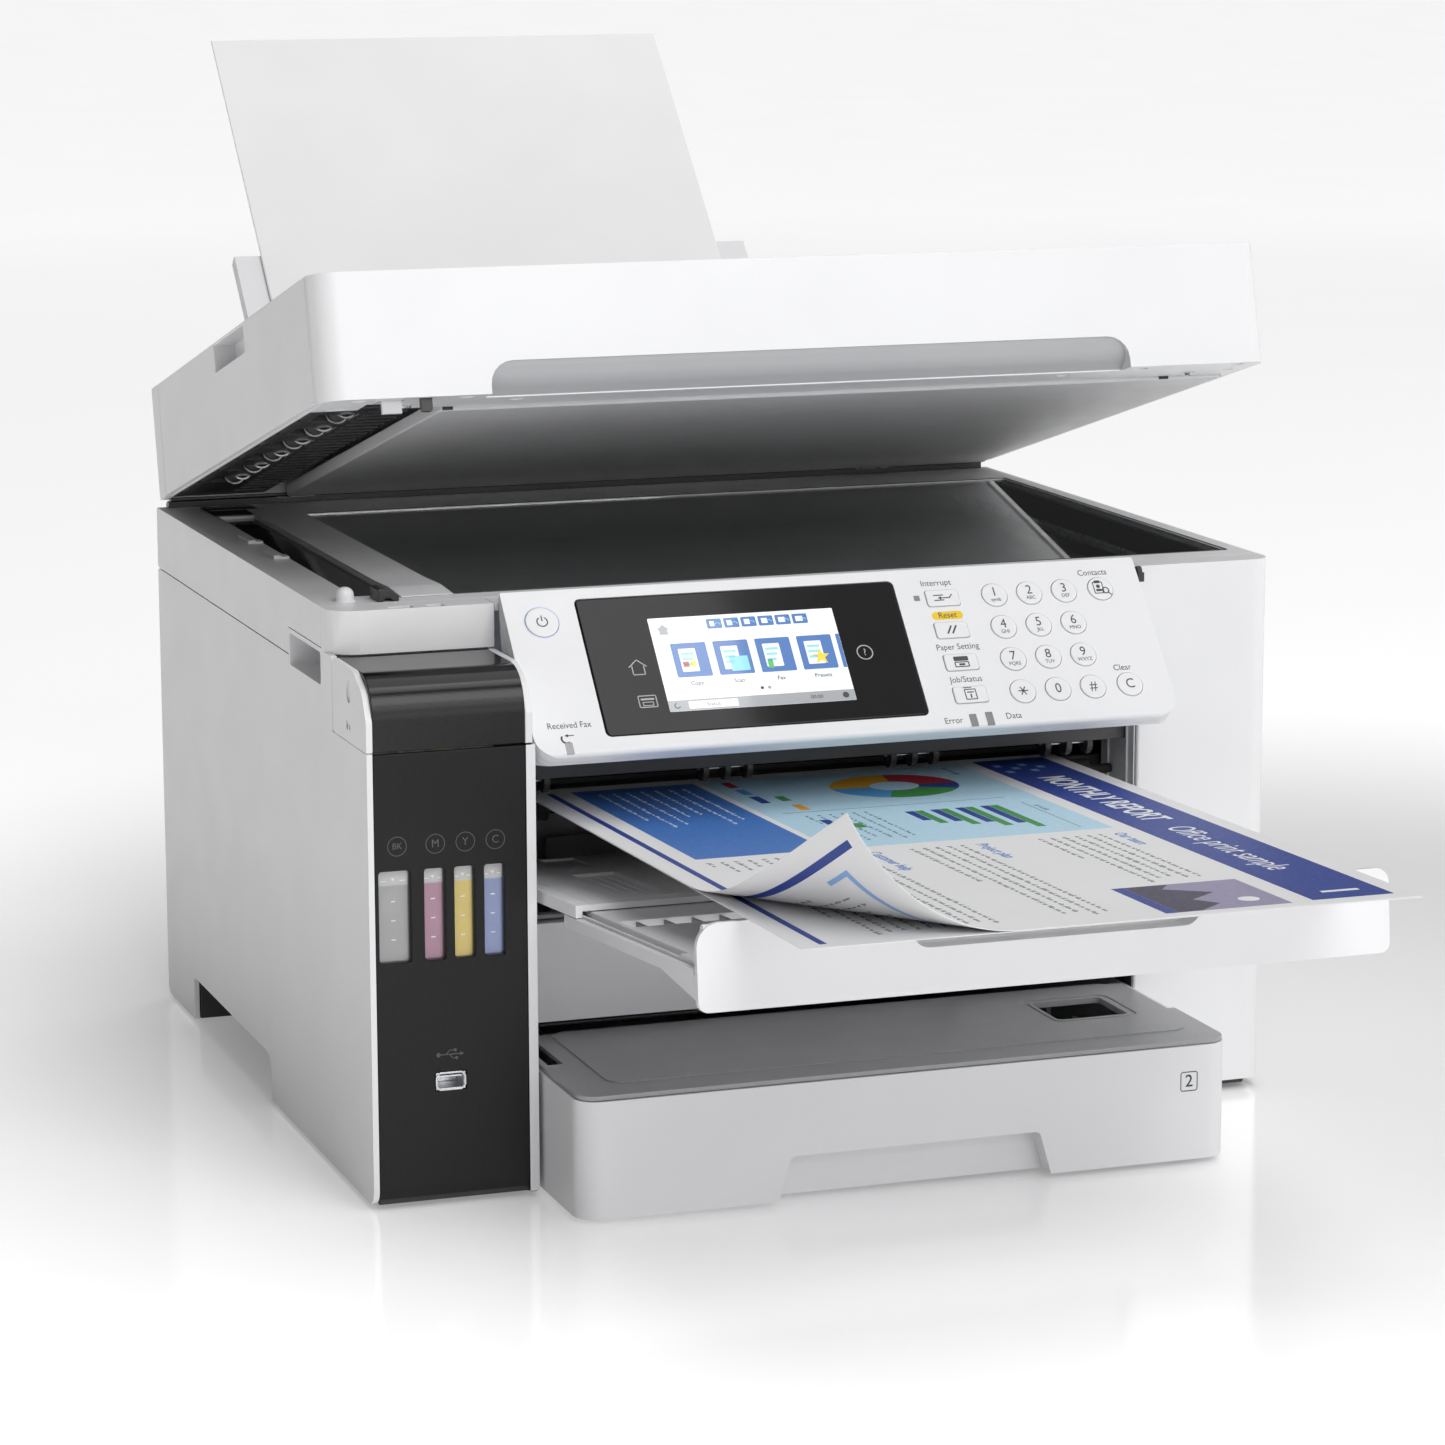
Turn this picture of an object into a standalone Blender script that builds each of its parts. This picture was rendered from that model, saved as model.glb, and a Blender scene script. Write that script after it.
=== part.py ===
"""A wide-format inkjet printer with a flatbed scanner, refillable ink tanks and two paper cassettes.

Lengths are written in millimetres and angles in degrees; MM turns lengths into Blender's metres.
The model's own frame has +X to the printer's right, its front towards -Y and +Z up.
Heights start at the table, and y starts at the front of the ink tank unit (the DATUM empty).
"""

from math import cos, pi, radians, sin, tan

import bmesh
import bpy
from mathutils import Matrix, Vector

MM = 0.001
GAP = 0.4  # air between neighbouring pieces
WALL = 3.0  # moulded wall
FAR = 700.0  # reach of a cutter that leaves the printer

# ---- driving dimensions: body ----
HALF_WIDTH = 257.5
PILLAR_FRONT = 65.0  # front of the right pillar and of the cassettes' bay
BODY_REAR = 464.0
REAR_BULGE = 500.0
BODY_BOTTOM = 3.0
SEAM_Z = 255.0  # scanner unit above, print unit below
SCANNER_TOP = 290.0
RIM_REAR = 84.5  # the fixed front rim ends here and the scanner unit begins
BAY_LEFT, BAY_RIGHT = -173.0, 179.5
TANK_LEFT, TANK_RIGHT = -254.9, -177.0
TANK_REAR = 175.0
CHEEK_BOTTOM, COVER_TOP, COVER_REAR = 230.4, 267.6, 64.6
ARCH_FRONT, ARCH_REAR, ARCH_TOP = 211.0, 396.0, 28.0
GRIP_FRONT, GRIP_REAR = 84.9, 153.0
GRIP_LOW, GRIP_HIGH, GRIP_DEPTH, GRIP_DEPTH_RIGHT = 248.0, 269.0, 24.0, 12.0

# ---- driving dimensions: scanner and lid ----
GLASS_X, GLASS_Y = (-184.5, 247.0), (102.0, 408.0)
STRIP_X, STRIP_Y = (-233.0, -212.6), (110.0, 412.0)
LID_AXIS_Y, LID_AXIS_Z = 465.5, 292.5
LID_OPEN = 14.6
LID_REACH, LID_BACK, LID_HEIGHT = 400.8, 10.0, 64.0
LID_CORNER = 14.0
ADF_FRONT, ADF_BACK, ADF_RIGHT = 388.0, 30.0, -70.0
NOTCH_ROOF = 1.2
TRACK_X, TRACK_Y = (-252.4, -197.0), (-360.4, -16.0)

# ---- driving dimensions: control panel ----
PANEL_TOP_Y, PANEL_TOP_Z = 62.0, 296.0
PANEL_LEAN = 41.5  # how far the face leans back from upright
PANEL_X, PANEL_LENGTH, PANEL_DEPTH = (-171.5, 173.5), 97.0, 16.0
PANEL_AXIS_Y, PANEL_AXIS_Z = 63.2, 292.0
TOUCH_X, TOUCH_V = (-134.0, 37.0), (7.0, 87.5)
KEY_STAND, KEY_THICK, KEY_POCKET = 0.8, 3.4, 3.8
KEY_COLUMNS, KEY_ROWS = (90.8, 110.3, 129.8, 150.4), (19.0, 38.5, 58.0, 77.5)
KEY_RADIUS, POWER_RADIUS = 6.9, 8.6
MODE_KEY_X, MODE_KEY_SIZE = 62.0, (18.0, 9.6)

# ---- driving dimensions: paper ----
TRAY_SLOPE = 5.1
TRAY_X = (-168.0, 175.5)
TRAY_ORIGIN_Z = 149.2  # top of the inner tray where it crosses the bay's front
INNER_FRONT, INNER_BACK = 115.5, -58.0
OUTER_FRONT, OUTER_BACK = 296.2, 96.0
SHEET_WIDTH, SHEET_LENGTH, SHEET_THICK = 297.0, 420.0, 0.8
PRINTED_FRONT, PRINTED_REAR_Z = -313.0, 183.4
PRINTED_SLOPE = 1.67
FEED_SLOPE = 46.0
FEED_AXIS_Y, FEED_AXIS_Z = 492.0, 251.8
SUPPORT_LENGTH = 226.0
CASSETTE_X = (-169.6, 178.6)
CASSETTE_1 = {"front": 65.0, "rear": 386.0, "z": (72.0, 123.6), "wall_top": 113.0}
CASSETTE_2 = {"front": -58.0, "rear": 380.0, "z": (3.0, 66.0), "wall_top": 62.6}
FEED_REACH = 400.0  # from the support's pivot to the blank sheet's upper edge
DEPTH_REAR = FEED_AXIS_Y + FEED_REACH * cos(radians(FEED_SLOPE)) - 5.0 * sin(radians(FEED_SLOPE))
DATUM_Y = -(PRINTED_FRONT + DEPTH_REAR) / 2

WHITE, OFF_WHITE, LIGHT_GREY = (0.83, 0.83, 0.84), (0.76, 0.76, 0.78), (0.6, 0.6, 0.62)
DARK_GREY, BLACK = (0.045, 0.045, 0.048), (0.012, 0.012, 0.013)
STEEL, GLASS, PAPER = (0.55, 0.56, 0.58), (0.05, 0.055, 0.06), (0.9, 0.9, 0.9)

parts = bpy.data.collections.new("inkjet_printer")
cutters = bpy.data.collections.new("cutters")


# ---- helpers ----
def clear_scene():
    for old in list(bpy.data.objects):
        bpy.data.objects.remove(old)
    for collection in (parts, cutters):
        bpy.context.scene.collection.children.link(collection)


def pivot(name, location, parent=None, turn=0.0):
    """An empty on a joint's axis, turned about X; the pieces that move with it are its children."""
    empty = bpy.data.objects.new(name, None)
    parts.objects.link(empty)
    empty.parent = parent
    empty.location = Vector(location) * MM
    empty.rotation_euler = (radians(turn), 0.0, 0.0)
    empty.empty_display_size = 0.02
    return empty


def paint(obj, colour, roughness=0.4, metallic=0.0):
    material = bpy.data.materials.new(obj.name)
    material.use_nodes = True
    shader = material.node_tree.nodes["Principled BSDF"]
    shader.inputs["Base Color"].default_value = (*colour, 1.0)
    shader.inputs["Roughness"].default_value = roughness
    shader.inputs["Metallic"].default_value = metallic
    obj.data.materials.append(material)
    return obj


def from_bmesh(name, form, parent):
    """An object from a form drawn in millimetres."""
    mesh = bpy.data.meshes.new(name)
    form.transform(Matrix.Scale(MM, 4))
    form.to_mesh(mesh)
    form.free()
    obj = bpy.data.objects.new(name, mesh)
    obj.parent = parent
    parts.objects.link(obj)
    return obj


def box(name, x, y, z, parent):
    """A box between two x, two y and two z values."""
    form = bmesh.new()
    bmesh.ops.create_cube(form, size=1.0)
    size = Vector(abs(b - a) for a, b in (x, y, z))
    centre = Vector((a + b) / 2 for a, b in (x, y, z))
    form.transform(Matrix.Translation(centre) @ Matrix.Diagonal((*size, 1.0)))
    return from_bmesh(name, form, parent)


def rod(name, radius, start, end, parent, sides=20):
    """A cylinder between two points."""
    first, last = Vector(start), Vector(end)
    along = last - first
    form = bmesh.new()
    bmesh.ops.create_cone(
        form, cap_ends=True, segments=sides, radius1=radius, radius2=radius, depth=along.length
    )
    turn = along.to_track_quat("Z", "Y").to_matrix().to_4x4()
    form.transform(Matrix.Translation((first + last) / 2) @ turn)
    return from_bmesh(name, form, parent)


def rounded(corners, steps=5):
    """An outline from (u, v, radius) corners, each rounded by an arc of that radius."""
    outline = []
    for i, (u, v, radius) in enumerate(corners):
        here = Vector((u, v))
        back = (Vector(corners[i - 1][:2]) - here).normalized()
        ahead = (Vector(corners[(i + 1) % len(corners)][:2]) - here).normalized()
        if radius <= 0:
            outline.append((u, v))
            continue
        half = back.angle(ahead) / 2
        centre = here + (back + ahead).normalized() * radius / sin(half)
        first = here + back * radius / tan(half) - centre
        last = here + ahead * radius / tan(half) - centre
        swing = first.angle_signed(last)
        for step in range(steps + 1):
            angle = -swing * step / steps
            spot = centre + Matrix.Rotation(angle, 2) @ first
            outline.append((spot.x, spot.y))
    return outline


PLANES = {  # how an outline's u, v and thickness lie in the model
    "xy": Matrix(((1, 0, 0), (0, 1, 0), (0, 0, 1))),
    "yz": Matrix(((0, 0, 1), (1, 0, 0), (0, 1, 0))),
    "xz": Matrix(((1, 0, 0), (0, 0, -1), (0, 1, 0))),
}


def slab(name, outline, plane, low, high, parent):
    """A flat outline drawn in a plane and thickened from low to high along the third axis."""
    curve = bpy.data.curves.new(name, "CURVE")
    curve.dimensions = "2D"
    curve.fill_mode = "BOTH"
    curve.extrude = (high - low) / 2
    spline = curve.splines.new("POLY")
    spline.points.add(len(outline) - 1)
    for point, (u, v) in zip(spline.points, outline):
        point.co = (u, v, 0.0, 1.0)
    spline.use_cyclic_u = True
    drawing = bpy.data.objects.new(name + "_outline", curve)
    parts.objects.link(drawing)
    bpy.context.view_layer.update()
    solid = bpy.data.meshes.new_from_object(
        drawing.evaluated_get(bpy.context.evaluated_depsgraph_get())
    )
    form = bmesh.new()
    form.from_mesh(solid)
    bmesh.ops.remove_doubles(form, verts=form.verts, dist=0.001)
    bmesh.ops.recalc_face_normals(form, faces=form.faces)
    lie = PLANES[plane].to_4x4()
    middle = lie.to_3x3() @ Vector((0.0, 0.0, (low + high) / 2))
    if plane == "xz":
        middle = -middle
    form.transform(Matrix.Translation(middle) @ lie)
    bpy.data.objects.remove(drawing)
    bpy.data.curves.remove(curve)
    return from_bmesh(name, form, parent)


def turned(name, profile, parent, steps=20):
    """A turned shape about the X axis: profile is (radius, x) from one end to the other."""
    form = bmesh.new()
    line = [form.verts.new((radius, 0.0, x)) for radius, x in profile]
    for first, last in zip(line, line[1:]):
        form.edges.new((first, last))
    obj = from_bmesh(name, form, parent)
    obj.rotation_euler = (0.0, pi / 2, 0.0)
    screw = obj.modifiers.new("turn", "SCREW")
    screw.steps = steps
    screw.render_steps = steps
    screw.use_merge_vertices = True
    screw.merge_threshold = 0.00001
    screw.use_normal_calculate = True
    screw.use_normal_flip = True
    return obj


def boolean(target, tools, operation):
    """Cuts or joins tools, which move to the cutters' collection, into target."""
    for tool in tools:
        parts.objects.unlink(tool)
        cutters.objects.link(tool)
        tool.hide_render = True
        tool.display_type = "WIRE"
        step = target.modifiers.new(operation.lower(), "BOOLEAN")
        step.operation = operation
        step.object = tool
        step.solver = "EXACT"
    return target


def cut(target, *tools):
    return boolean(target, tools, "DIFFERENCE")


def join(target, *tools):
    return boolean(target, tools, "UNION")


# ---- print unit: chassis and covers ----
def base_frame(body):
    """Open-topped chassis with bays for the cassettes, the tray, the tanks and the electronics."""
    side = HALF_WIDTH - WALL - 0.5
    rear = BODY_REAR - WALL
    frame = box("base_frame", (-side, side), (0.4, rear), (BODY_BOTTOM, 245.0), body)
    bay = (BAY_LEFT, BAY_RIGHT)
    bay_rear = 392.0
    low_floor, high_floor = 20.0, ARCH_TOP + 4
    cut(
        frame,
        box("cut_front", (BAY_LEFT, FAR), (-FAR, PILLAR_FRONT + 3.5), (-FAR, FAR), body),
        box("cut_pillar", (side - 7, FAR), (-FAR, PILLAR_FRONT + 15), (-FAR, FAR), body),
        box("cut_tank_panel", (-FAR, TANK_RIGHT), (-FAR, 3.4), (-FAR, FAR), body),
        box(
            "cut_tank_cover",
            (-FAR, BAY_LEFT + 9),
            (-FAR, COVER_REAR + 0.8),
            (CHEEK_BOTTOM - 0.6, FAR),
            body,
        ),
        box("cut_cassette_2", bay, (0, bay_rear), (BODY_BOTTOM + 2.4, 68.6), body),
        box("cut_cassette_1", bay, (0, bay_rear), (70.4, 120.0), body),
        box("cut_print_bay", bay, (0, bay_rear), (116.0, FAR), body),
        box("cut_tanks", (-FAR, TANK_RIGHT), (-FAR, TANK_REAR), (98.0, FAR), body),
        box("cut_below_tanks", (-FAR, TANK_RIGHT), (-FAR, TANK_REAR), (low_floor, 94.0), body),
        box(
            "cut_left_bay",
            (1 - side + WALL, BAY_LEFT - WALL),
            (TANK_REAR + WALL, rear - 6),
            (high_floor, FAR),
            body,
        ),
        box(
            "cut_right_bay",
            (BAY_RIGHT + WALL, side - WALL),
            (PILLAR_FRONT + 7, rear - 6),
            (high_floor, FAR),
            body,
        ),
        box("cut_rear_bay", bay, (bay_rear + WALL, rear - 6), (8.0, FAR), body),
        box("cut_feed_slot", (-186, 186), (rear - 7, FAR), (196.0, 246.0), body),
        box("cut_inlet", (-238, -206), (rear - 7, FAR), (56.0, 82.0), body),
        *(
            box(
                "cut_arch",
                (sign * 205, sign * FAR),
                (ARCH_FRONT, ARCH_REAR),
                (-FAR, ARCH_TOP - 1),
                body,
            )
            for sign in (-1, 1)
        ),
    )
    feet = ((-225, 32), (-225, 430), (222, 100), (222, 430))
    join(frame, *(rod("foot", 9, (x, y, 0), (x, y, 8), body, 16) for x, y in feet))
    return paint(frame, LIGHT_GREY, 0.45)


def side_outline(front):
    """Side view of a side cover, from its front bottom corner round to the front rim's top."""
    top, seam = SCANNER_TOP, SEAM_Z - 0.3
    return rounded(
        [
            (front, BODY_BOTTOM, 9),
            (ARCH_FRONT, BODY_BOTTOM, 0),
            (ARCH_FRONT, ARCH_TOP, 9),
            (ARCH_REAR, ARCH_TOP, 3),
            (ARCH_REAR, BODY_BOTTOM, 0),
            (BODY_REAR, BODY_BOTTOM, 6),
            (BODY_REAR, seam, 3),
            (GRIP_REAR + 0.6, seam, 0),
            (GRIP_REAR + 0.6, GRIP_LOW, 0),
            (RIM_REAR, GRIP_LOW, 0),
            (RIM_REAR, top, 0),
            (PILLAR_FRONT, top, 0),
            (PILLAR_FRONT, CHEEK_BOTTOM, 0),
            (front, CHEEK_BOTTOM, 0),
        ]
    )


def rim_block(name, x, z, corner_sign, radius, body):
    """The fixed rim beside the control panel, with one rounded vertical corner."""
    outer = corner_sign * HALF_WIDTH
    inner = x[0] if corner_sign > 0 else x[1]
    outline = rounded(
        [
            (outer, PILLAR_FRONT, radius), (inner, PILLAR_FRONT, 0), (inner, RIM_REAR, 0),
            (outer, RIM_REAR, 0),
        ]
    )
    return slab(name, outline, "xy", *z, body)


def grip_pocket(cover, sign, depth, body):
    """The lifting grip: a cup that reaches inwards from the side cover."""
    outer, inner = sign * HALF_WIDTH, sign * (HALF_WIDTH - depth)
    cup = box(
        "grip_cup", (outer, inner), (GRIP_FRONT - 1.0, GRIP_REAR), (GRIP_LOW - 2, GRIP_HIGH), body
    )
    join(cover, cup)
    hollow = rounded(
        [
            (GRIP_FRONT + 2, GRIP_LOW + 2, 2),
            (GRIP_REAR - 2.4, GRIP_LOW + 2, 2),
            (GRIP_REAR - 2.4, GRIP_HIGH - 2.4, 2),
            (GRIP_FRONT + 2, GRIP_HIGH - 2.4, 2),
        ],
        3,
    )
    ends = sorted((sign * FAR, sign * (HALF_WIDTH - depth + 2.4)))
    cut(cover, slab("grip_hollow", hollow, "yz", *ends, body))


def side_covers(body):
    left_x = (-HALF_WIDTH, -HALF_WIDTH + WALL)
    left = slab("left_side_cover", side_outline(0.0), "yz", *left_x, body)
    radius = 15.0
    left_round = box(
        "trim_corner",
        (-FAR, -HALF_WIDTH + radius),
        (PILLAR_FRONT - 1, PILLAR_FRONT + radius),
        (CHEEK_BOTTOM + 37.6, FAR),
        body,
    )
    cut(left, left_round)
    rim = rim_block(
        "left_rim", (-HALF_WIDTH, BAY_LEFT - 0.3), (COVER_TOP + 0.4, SCANNER_TOP), -1, radius, body
    )
    join(left, rim)
    grip_pocket(left, -1, GRIP_DEPTH, body)
    paint(left, WHITE, 0.38)

    right_x = (HALF_WIDTH - WALL, HALF_WIDTH)
    front = PILLAR_FRONT + 12
    outline = [point for point in side_outline(front) if point[0] >= front - 0.01]
    right = slab("right_side_cover", outline, "yz", *right_x, body)
    pillar_left = BAY_RIGHT + 0.3
    shell = rounded(
        [
            (pillar_left, PILLAR_FRONT, 1.5),
            (HALF_WIDTH, PILLAR_FRONT, 12),
            (HALF_WIDTH, front + 2, 0),
            (HALF_WIDTH - WALL, front + 2, 0),
            (HALF_WIDTH - WALL, PILLAR_FRONT + WALL, 9),
            (pillar_left, PILLAR_FRONT + WALL, 0),
        ]
    )
    join(right, slab("pillar_front", shell, "xy", 6.0, SCANNER_TOP, body))
    join(right, rim_block("right_rim", (pillar_left, HALF_WIDTH), (SEAM_Z, SCANNER_TOP), 1, 12, body))
    grip_pocket(right, 1, GRIP_DEPTH_RIGHT, body)
    paint(right, WHITE, 0.38)


def rear_cover(body):
    """Back panel with the hollow bulge that takes paper from above and the power inlet's opening."""
    side = HALF_WIDTH - WALL - 0.5
    wide, bulge_top = 190.0, 250.0
    cover = box("rear_cover", (-side, side), (BODY_REAR - WALL + GAP, BODY_REAR), (8.0, 251.0), body)
    outline = rounded(
        [
            (BODY_REAR - 1, 30, 0), (REAR_BULGE, 30, 12), (REAR_BULGE, bulge_top, 2),
            (BODY_REAR - 1, bulge_top, 0),
        ]
    )
    join(cover, slab("bulge", outline, "yz", -wide, wide, body))
    inner = (-wide + 2.5, wide - 2.5)
    cut(
        cover,
        box("cut_feed", inner, (BODY_REAR + 2.0, REAR_BULGE - 2.5), (196.0, FAR), body),
        box("cut_slot", (-186, 186), (-FAR, BODY_REAR + 3), (205.0, 240.0), body),
        box("cut_duplex", inner, (-FAR, REAR_BULGE - 2.5), (34.0, 192.0), body),
        box("cut_inlet", (-237, -207), (-FAR, FAR), (57.0, 81.0), body),
    )
    paint(cover, WHITE, 0.42)


def rim_frame(body):
    """Fixed rim between the two pillars, behind the control panel."""
    x = (BAY_LEFT + 0.2, BAY_RIGHT - 0.2)
    outline = [
        (66.0, 286.0), (66.0, 290.0), (RIM_REAR - 0.2, 290.0), (RIM_REAR - 0.2, 226.0), (80.0, 226.0),
        (80.0, 286.0),
    ]
    paint(slab("panel_mount_frame", outline, "yz", *x, body), WHITE, 0.4)


# ---- ink unit ----
TANKS = (  # colour name, window's left and right, tank's left and right, ink colour
    ("black", -252.4, -236.2, -253.6, -234.6, (0.16, 0.16, 0.17)),
    ("magenta", -229.4, -218.8, -231.6, -217.0, (0.5, 0.2, 0.28)),
    ("yellow", -214.1, -203.8, -216.0, -202.0, (0.75, 0.5, 0.06)),
    ("cyan", -198.9, -188.4, -201.0, -186.4, (0.14, 0.2, 0.5)),
)
WINDOW_Z = (125.4, 171.8)
TANK_Z, TANK_Y = (98.4, 226.0), (4.2, 112.0)
USB_X, USB_Z = (-225.3, -209.3), (59.2, 68.8)
CAP_LENGTH, CAP_BACK = 22.0, 60.0


def ink_unit(body):
    face = [(3.0, 6.0), (3.0, CHEEK_BOTTOM - 0.6), (0.2, CHEEK_BOTTOM - 0.6), (0.2, 12.0), (1.6, 6.0)]
    panel = slab("tank_front_panel", face, "yz", TANK_LEFT + 0.7, TANK_RIGHT - 0.3, body)
    for name, left, right, *_ in TANKS:
        corners = [
            (left, WINDOW_Z[0], 1.6), (right, WINDOW_Z[0], 1.6), (right, WINDOW_Z[1], 1.6),
            (left, WINDOW_Z[1], 1.6),
        ]
        cut(panel, slab("window_" + name, rounded(corners, 3), "xz", -20, 20, body))
    cut(panel, box("window_usb", USB_X, (-20, 20), USB_Z, body))
    paint(panel, BLACK, 0.35)

    port = box(
        "usb_port",
        (USB_X[0] + GAP, USB_X[1] - GAP),
        (0.6, 18.0),
        (USB_Z[0] + GAP, USB_Z[1] - GAP),
        body,
    )
    tongue = 1.2
    cut(
        port,
        box(
            "socket_low",
            (USB_X[0] + 1.4, USB_X[1] - 1.4),
            (-5, 14),
            (USB_Z[0] + 1.3, USB_Z[0] + 6.2),
            body,
        ),
        box(
            "socket_high",
            (USB_X[0] + 1.4, USB_X[1] - 1.4),
            (-5, 14),
            (USB_Z[0] + 6.2 + tongue, USB_Z[1] - 1.3),
            body,
        ),
        box(
            "socket_mouth",
            (USB_X[0] + 1.4, USB_X[1] - 1.4),
            (-5, 2.4),
            (USB_Z[0] + 1.3, USB_Z[1] - 1.3),
            body,
        ),
    )
    paint(port, STEEL, 0.3, 1.0)

    for name, _, _, left, right, ink in TANKS:
        paint(box("ink_tank_" + name, (left, right), TANK_Y, TANK_Z, body), ink, 0.15)
        hinge = pivot("cap_pivot_" + name, ((left + right) / 2, CAP_BACK, TANK_Z[1] + 3.2), body)
        half = min(6.4, (right - left) / 2 - 0.6)
        side = rounded(
            [
                (-CAP_LENGTH, -2.6, 0), (1.4, -2.6, 0), (1.4, 1.6, 1.2), (-6, 1.6, 0), (-9, 6.6, 2),
                (-CAP_LENGTH, 6.6, 2),
            ],
            3,
        )
        paint(slab("tank_cap_" + name, side, "yz", -half, half, hinge), ink, 0.4)


def tank_cover(body):
    """Flip-up hood over the filling ports: a curved skin between two cheeks."""
    y0, z0 = 60.0, 265.2
    hinge = pivot("tank_cover_pivot", (0, y0, z0), body)
    front, low, top, rear = 0.3 - y0, CHEEK_BOTTOM - z0, COVER_TOP - z0, COVER_REAR - y0
    skin = 2.5
    outer = rounded([(front, low, 0), (rear, low, 2), (rear, top, 2.5), (front, top - 1.0, 21)], 6)
    x = (-HALF_WIDTH, BAY_LEFT - 0.3)
    hood = slab("tank_cover", outer, "yz", *x, hinge)
    inner = rounded(
        [
            (front + skin, low - 9, 0),
            (rear + 9, low - 9, 0),
            (rear + 9, top - 9.4, 0),
            (rear - 3, top - 9.4, 0),
            (rear - 9, top - skin, 0),
            (front + skin, top - 1.0 - skin, 18.5),
        ],
        6,
    )
    cut(hood, slab("hood_hollow", inner, "yz", x[0] + 2.4, x[1] - 3.6, hinge))
    paint(hood, BLACK, 0.25)


# ---- print engine ----
def print_engine(body):
    inside = (BAY_LEFT + 0.6, BAY_RIGHT - 0.6)
    platen = box("platen", inside, (112.0, 246.0), (174.0, 181.0), body)
    cut(
        platen,
        *(
            box("platen_groove", inside, (y, y + 14), (178.0, 190.0), body)
            for y in (132.0, 176.0, 220.0)
        ),
    )
    paint(platen, DARK_GREY, 0.5)

    rail = [
        (262.0, 186.0), (265.0, 186.0), (265.0, 238.0), (286.0, 238.0), (286.0, 241.0), (262.0, 241.0),
    ]
    paint(slab("carriage_rail", rail, "yz", *inside, body), STEEL, 0.35, 0.9)

    bar = box("star_wheel_bar", inside, (77.0, 110.0), (196.0, 214.0), body)
    for group in (-152.0, -42.0, 62.0, 150.0):
        for wheel in (-12.0, 0.0, 12.0):
            x = group + wheel
            join(bar, rod("star_wheel", 6.5, (x - 1.6, 92.0, 192.4), (x + 1.6, 92.0, 192.4), body, 12))
    paint(bar, BLACK, 0.5)

    head_slide = pivot("print_head_park", (130.0, 200.0, 212.0), body)
    head = box("print_head", (-38.0, 38.0), (-50.0, 58.0), (-25.0, 30.0), head_slide)
    cut(head, box("head_step", (-50.0, 50.0), (-60.0, -22.0), (2.0, 40.0), head_slide))
    paint(head, DARK_GREY, 0.45)

    spin = pivot("discharge_roller_axis", (0.0, 95.0, 176.6), body)
    shaft, tyre = 2.5, 6.0
    profile = [(0.0, inside[0] + 1), (shaft, inside[0] + 1)]
    for group in (-152.0, -42.0, 62.0, 150.0):
        profile += [(shaft, group - 14), (tyre, group - 14), (tyre, group + 14), (shaft, group + 14)]
    profile += [(shaft, inside[1] - 1), (0.0, inside[1] - 1)]
    paint(turned("discharge_roller", profile, spin, 16), DARK_GREY, 0.7)


# ---- scanner unit ----
def scanner_unit(body):
    """Flatbed scanner: it hinges at the rear over the print unit and carries the lid."""
    axis = (465.5, 256.0)
    hinge = pivot("scanner_pivot", (0.0, *axis), body)
    lift = pivot("scanner_datum", (0.0, -axis[0], -axis[1]), hinge)
    housing_y = (RIM_REAR + GAP, BODY_REAR)
    bottom = SEAM_Z + 0.3
    outline = rounded(
        [
            (housing_y[0], bottom, 0), (housing_y[1], bottom, 3), (housing_y[1], SCANNER_TOP, 2),
            (housing_y[0], SCANNER_TOP, 0),
        ],
        3,
    )
    housing = slab("scanner_housing", outline, "yz", -HALF_WIDTH, HALF_WIDTH, lift)
    cut(
        housing,
        box("scan_well", (-222.0, 241.0), (RIM_REAR + 5, 455.0), (bottom + WALL, 285.0), lift),
        box("glass_opening", GLASS_X, GLASS_Y, (283.0, FAR), lift),
        box("strip_opening", STRIP_X, STRIP_Y, (283.0, FAR), lift),
        *(
            box(
                "grip_clearance",
                (sign * (HALF_WIDTH - depth - GAP), sign * FAR),
                (-FAR, GRIP_REAR + GAP),
                (-FAR, GRIP_HIGH + GAP),
                lift,
            )
            for sign, depth in ((-1, GRIP_DEPTH), (1, GRIP_DEPTH_RIGHT))
        ),
    )
    paint(housing, WHITE, 0.38)

    pane = box(
        "scanner_glass",
        (GLASS_X[0] + GAP, GLASS_X[1] - GAP),
        (GLASS_Y[0] + GAP, GLASS_Y[1] - GAP),
        (286.4, 289.6),
        lift,
    )
    paint(pane, GLASS, 0.05)

    bar_slide = pivot("scan_bar_park", (-200.0, 270.0, 270.0), lift)
    bar = box("scan_bar", (-16.0, 16.0), (-165.0, 165.0), (-8.0, 11.0), bar_slide)
    cut(bar, box("scan_bar_slot", (-5.0, 5.0), (-150.0, 150.0), (8.0, 20.0), bar_slide))
    paint(bar, DARK_GREY, 0.4)
    return lift


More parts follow.
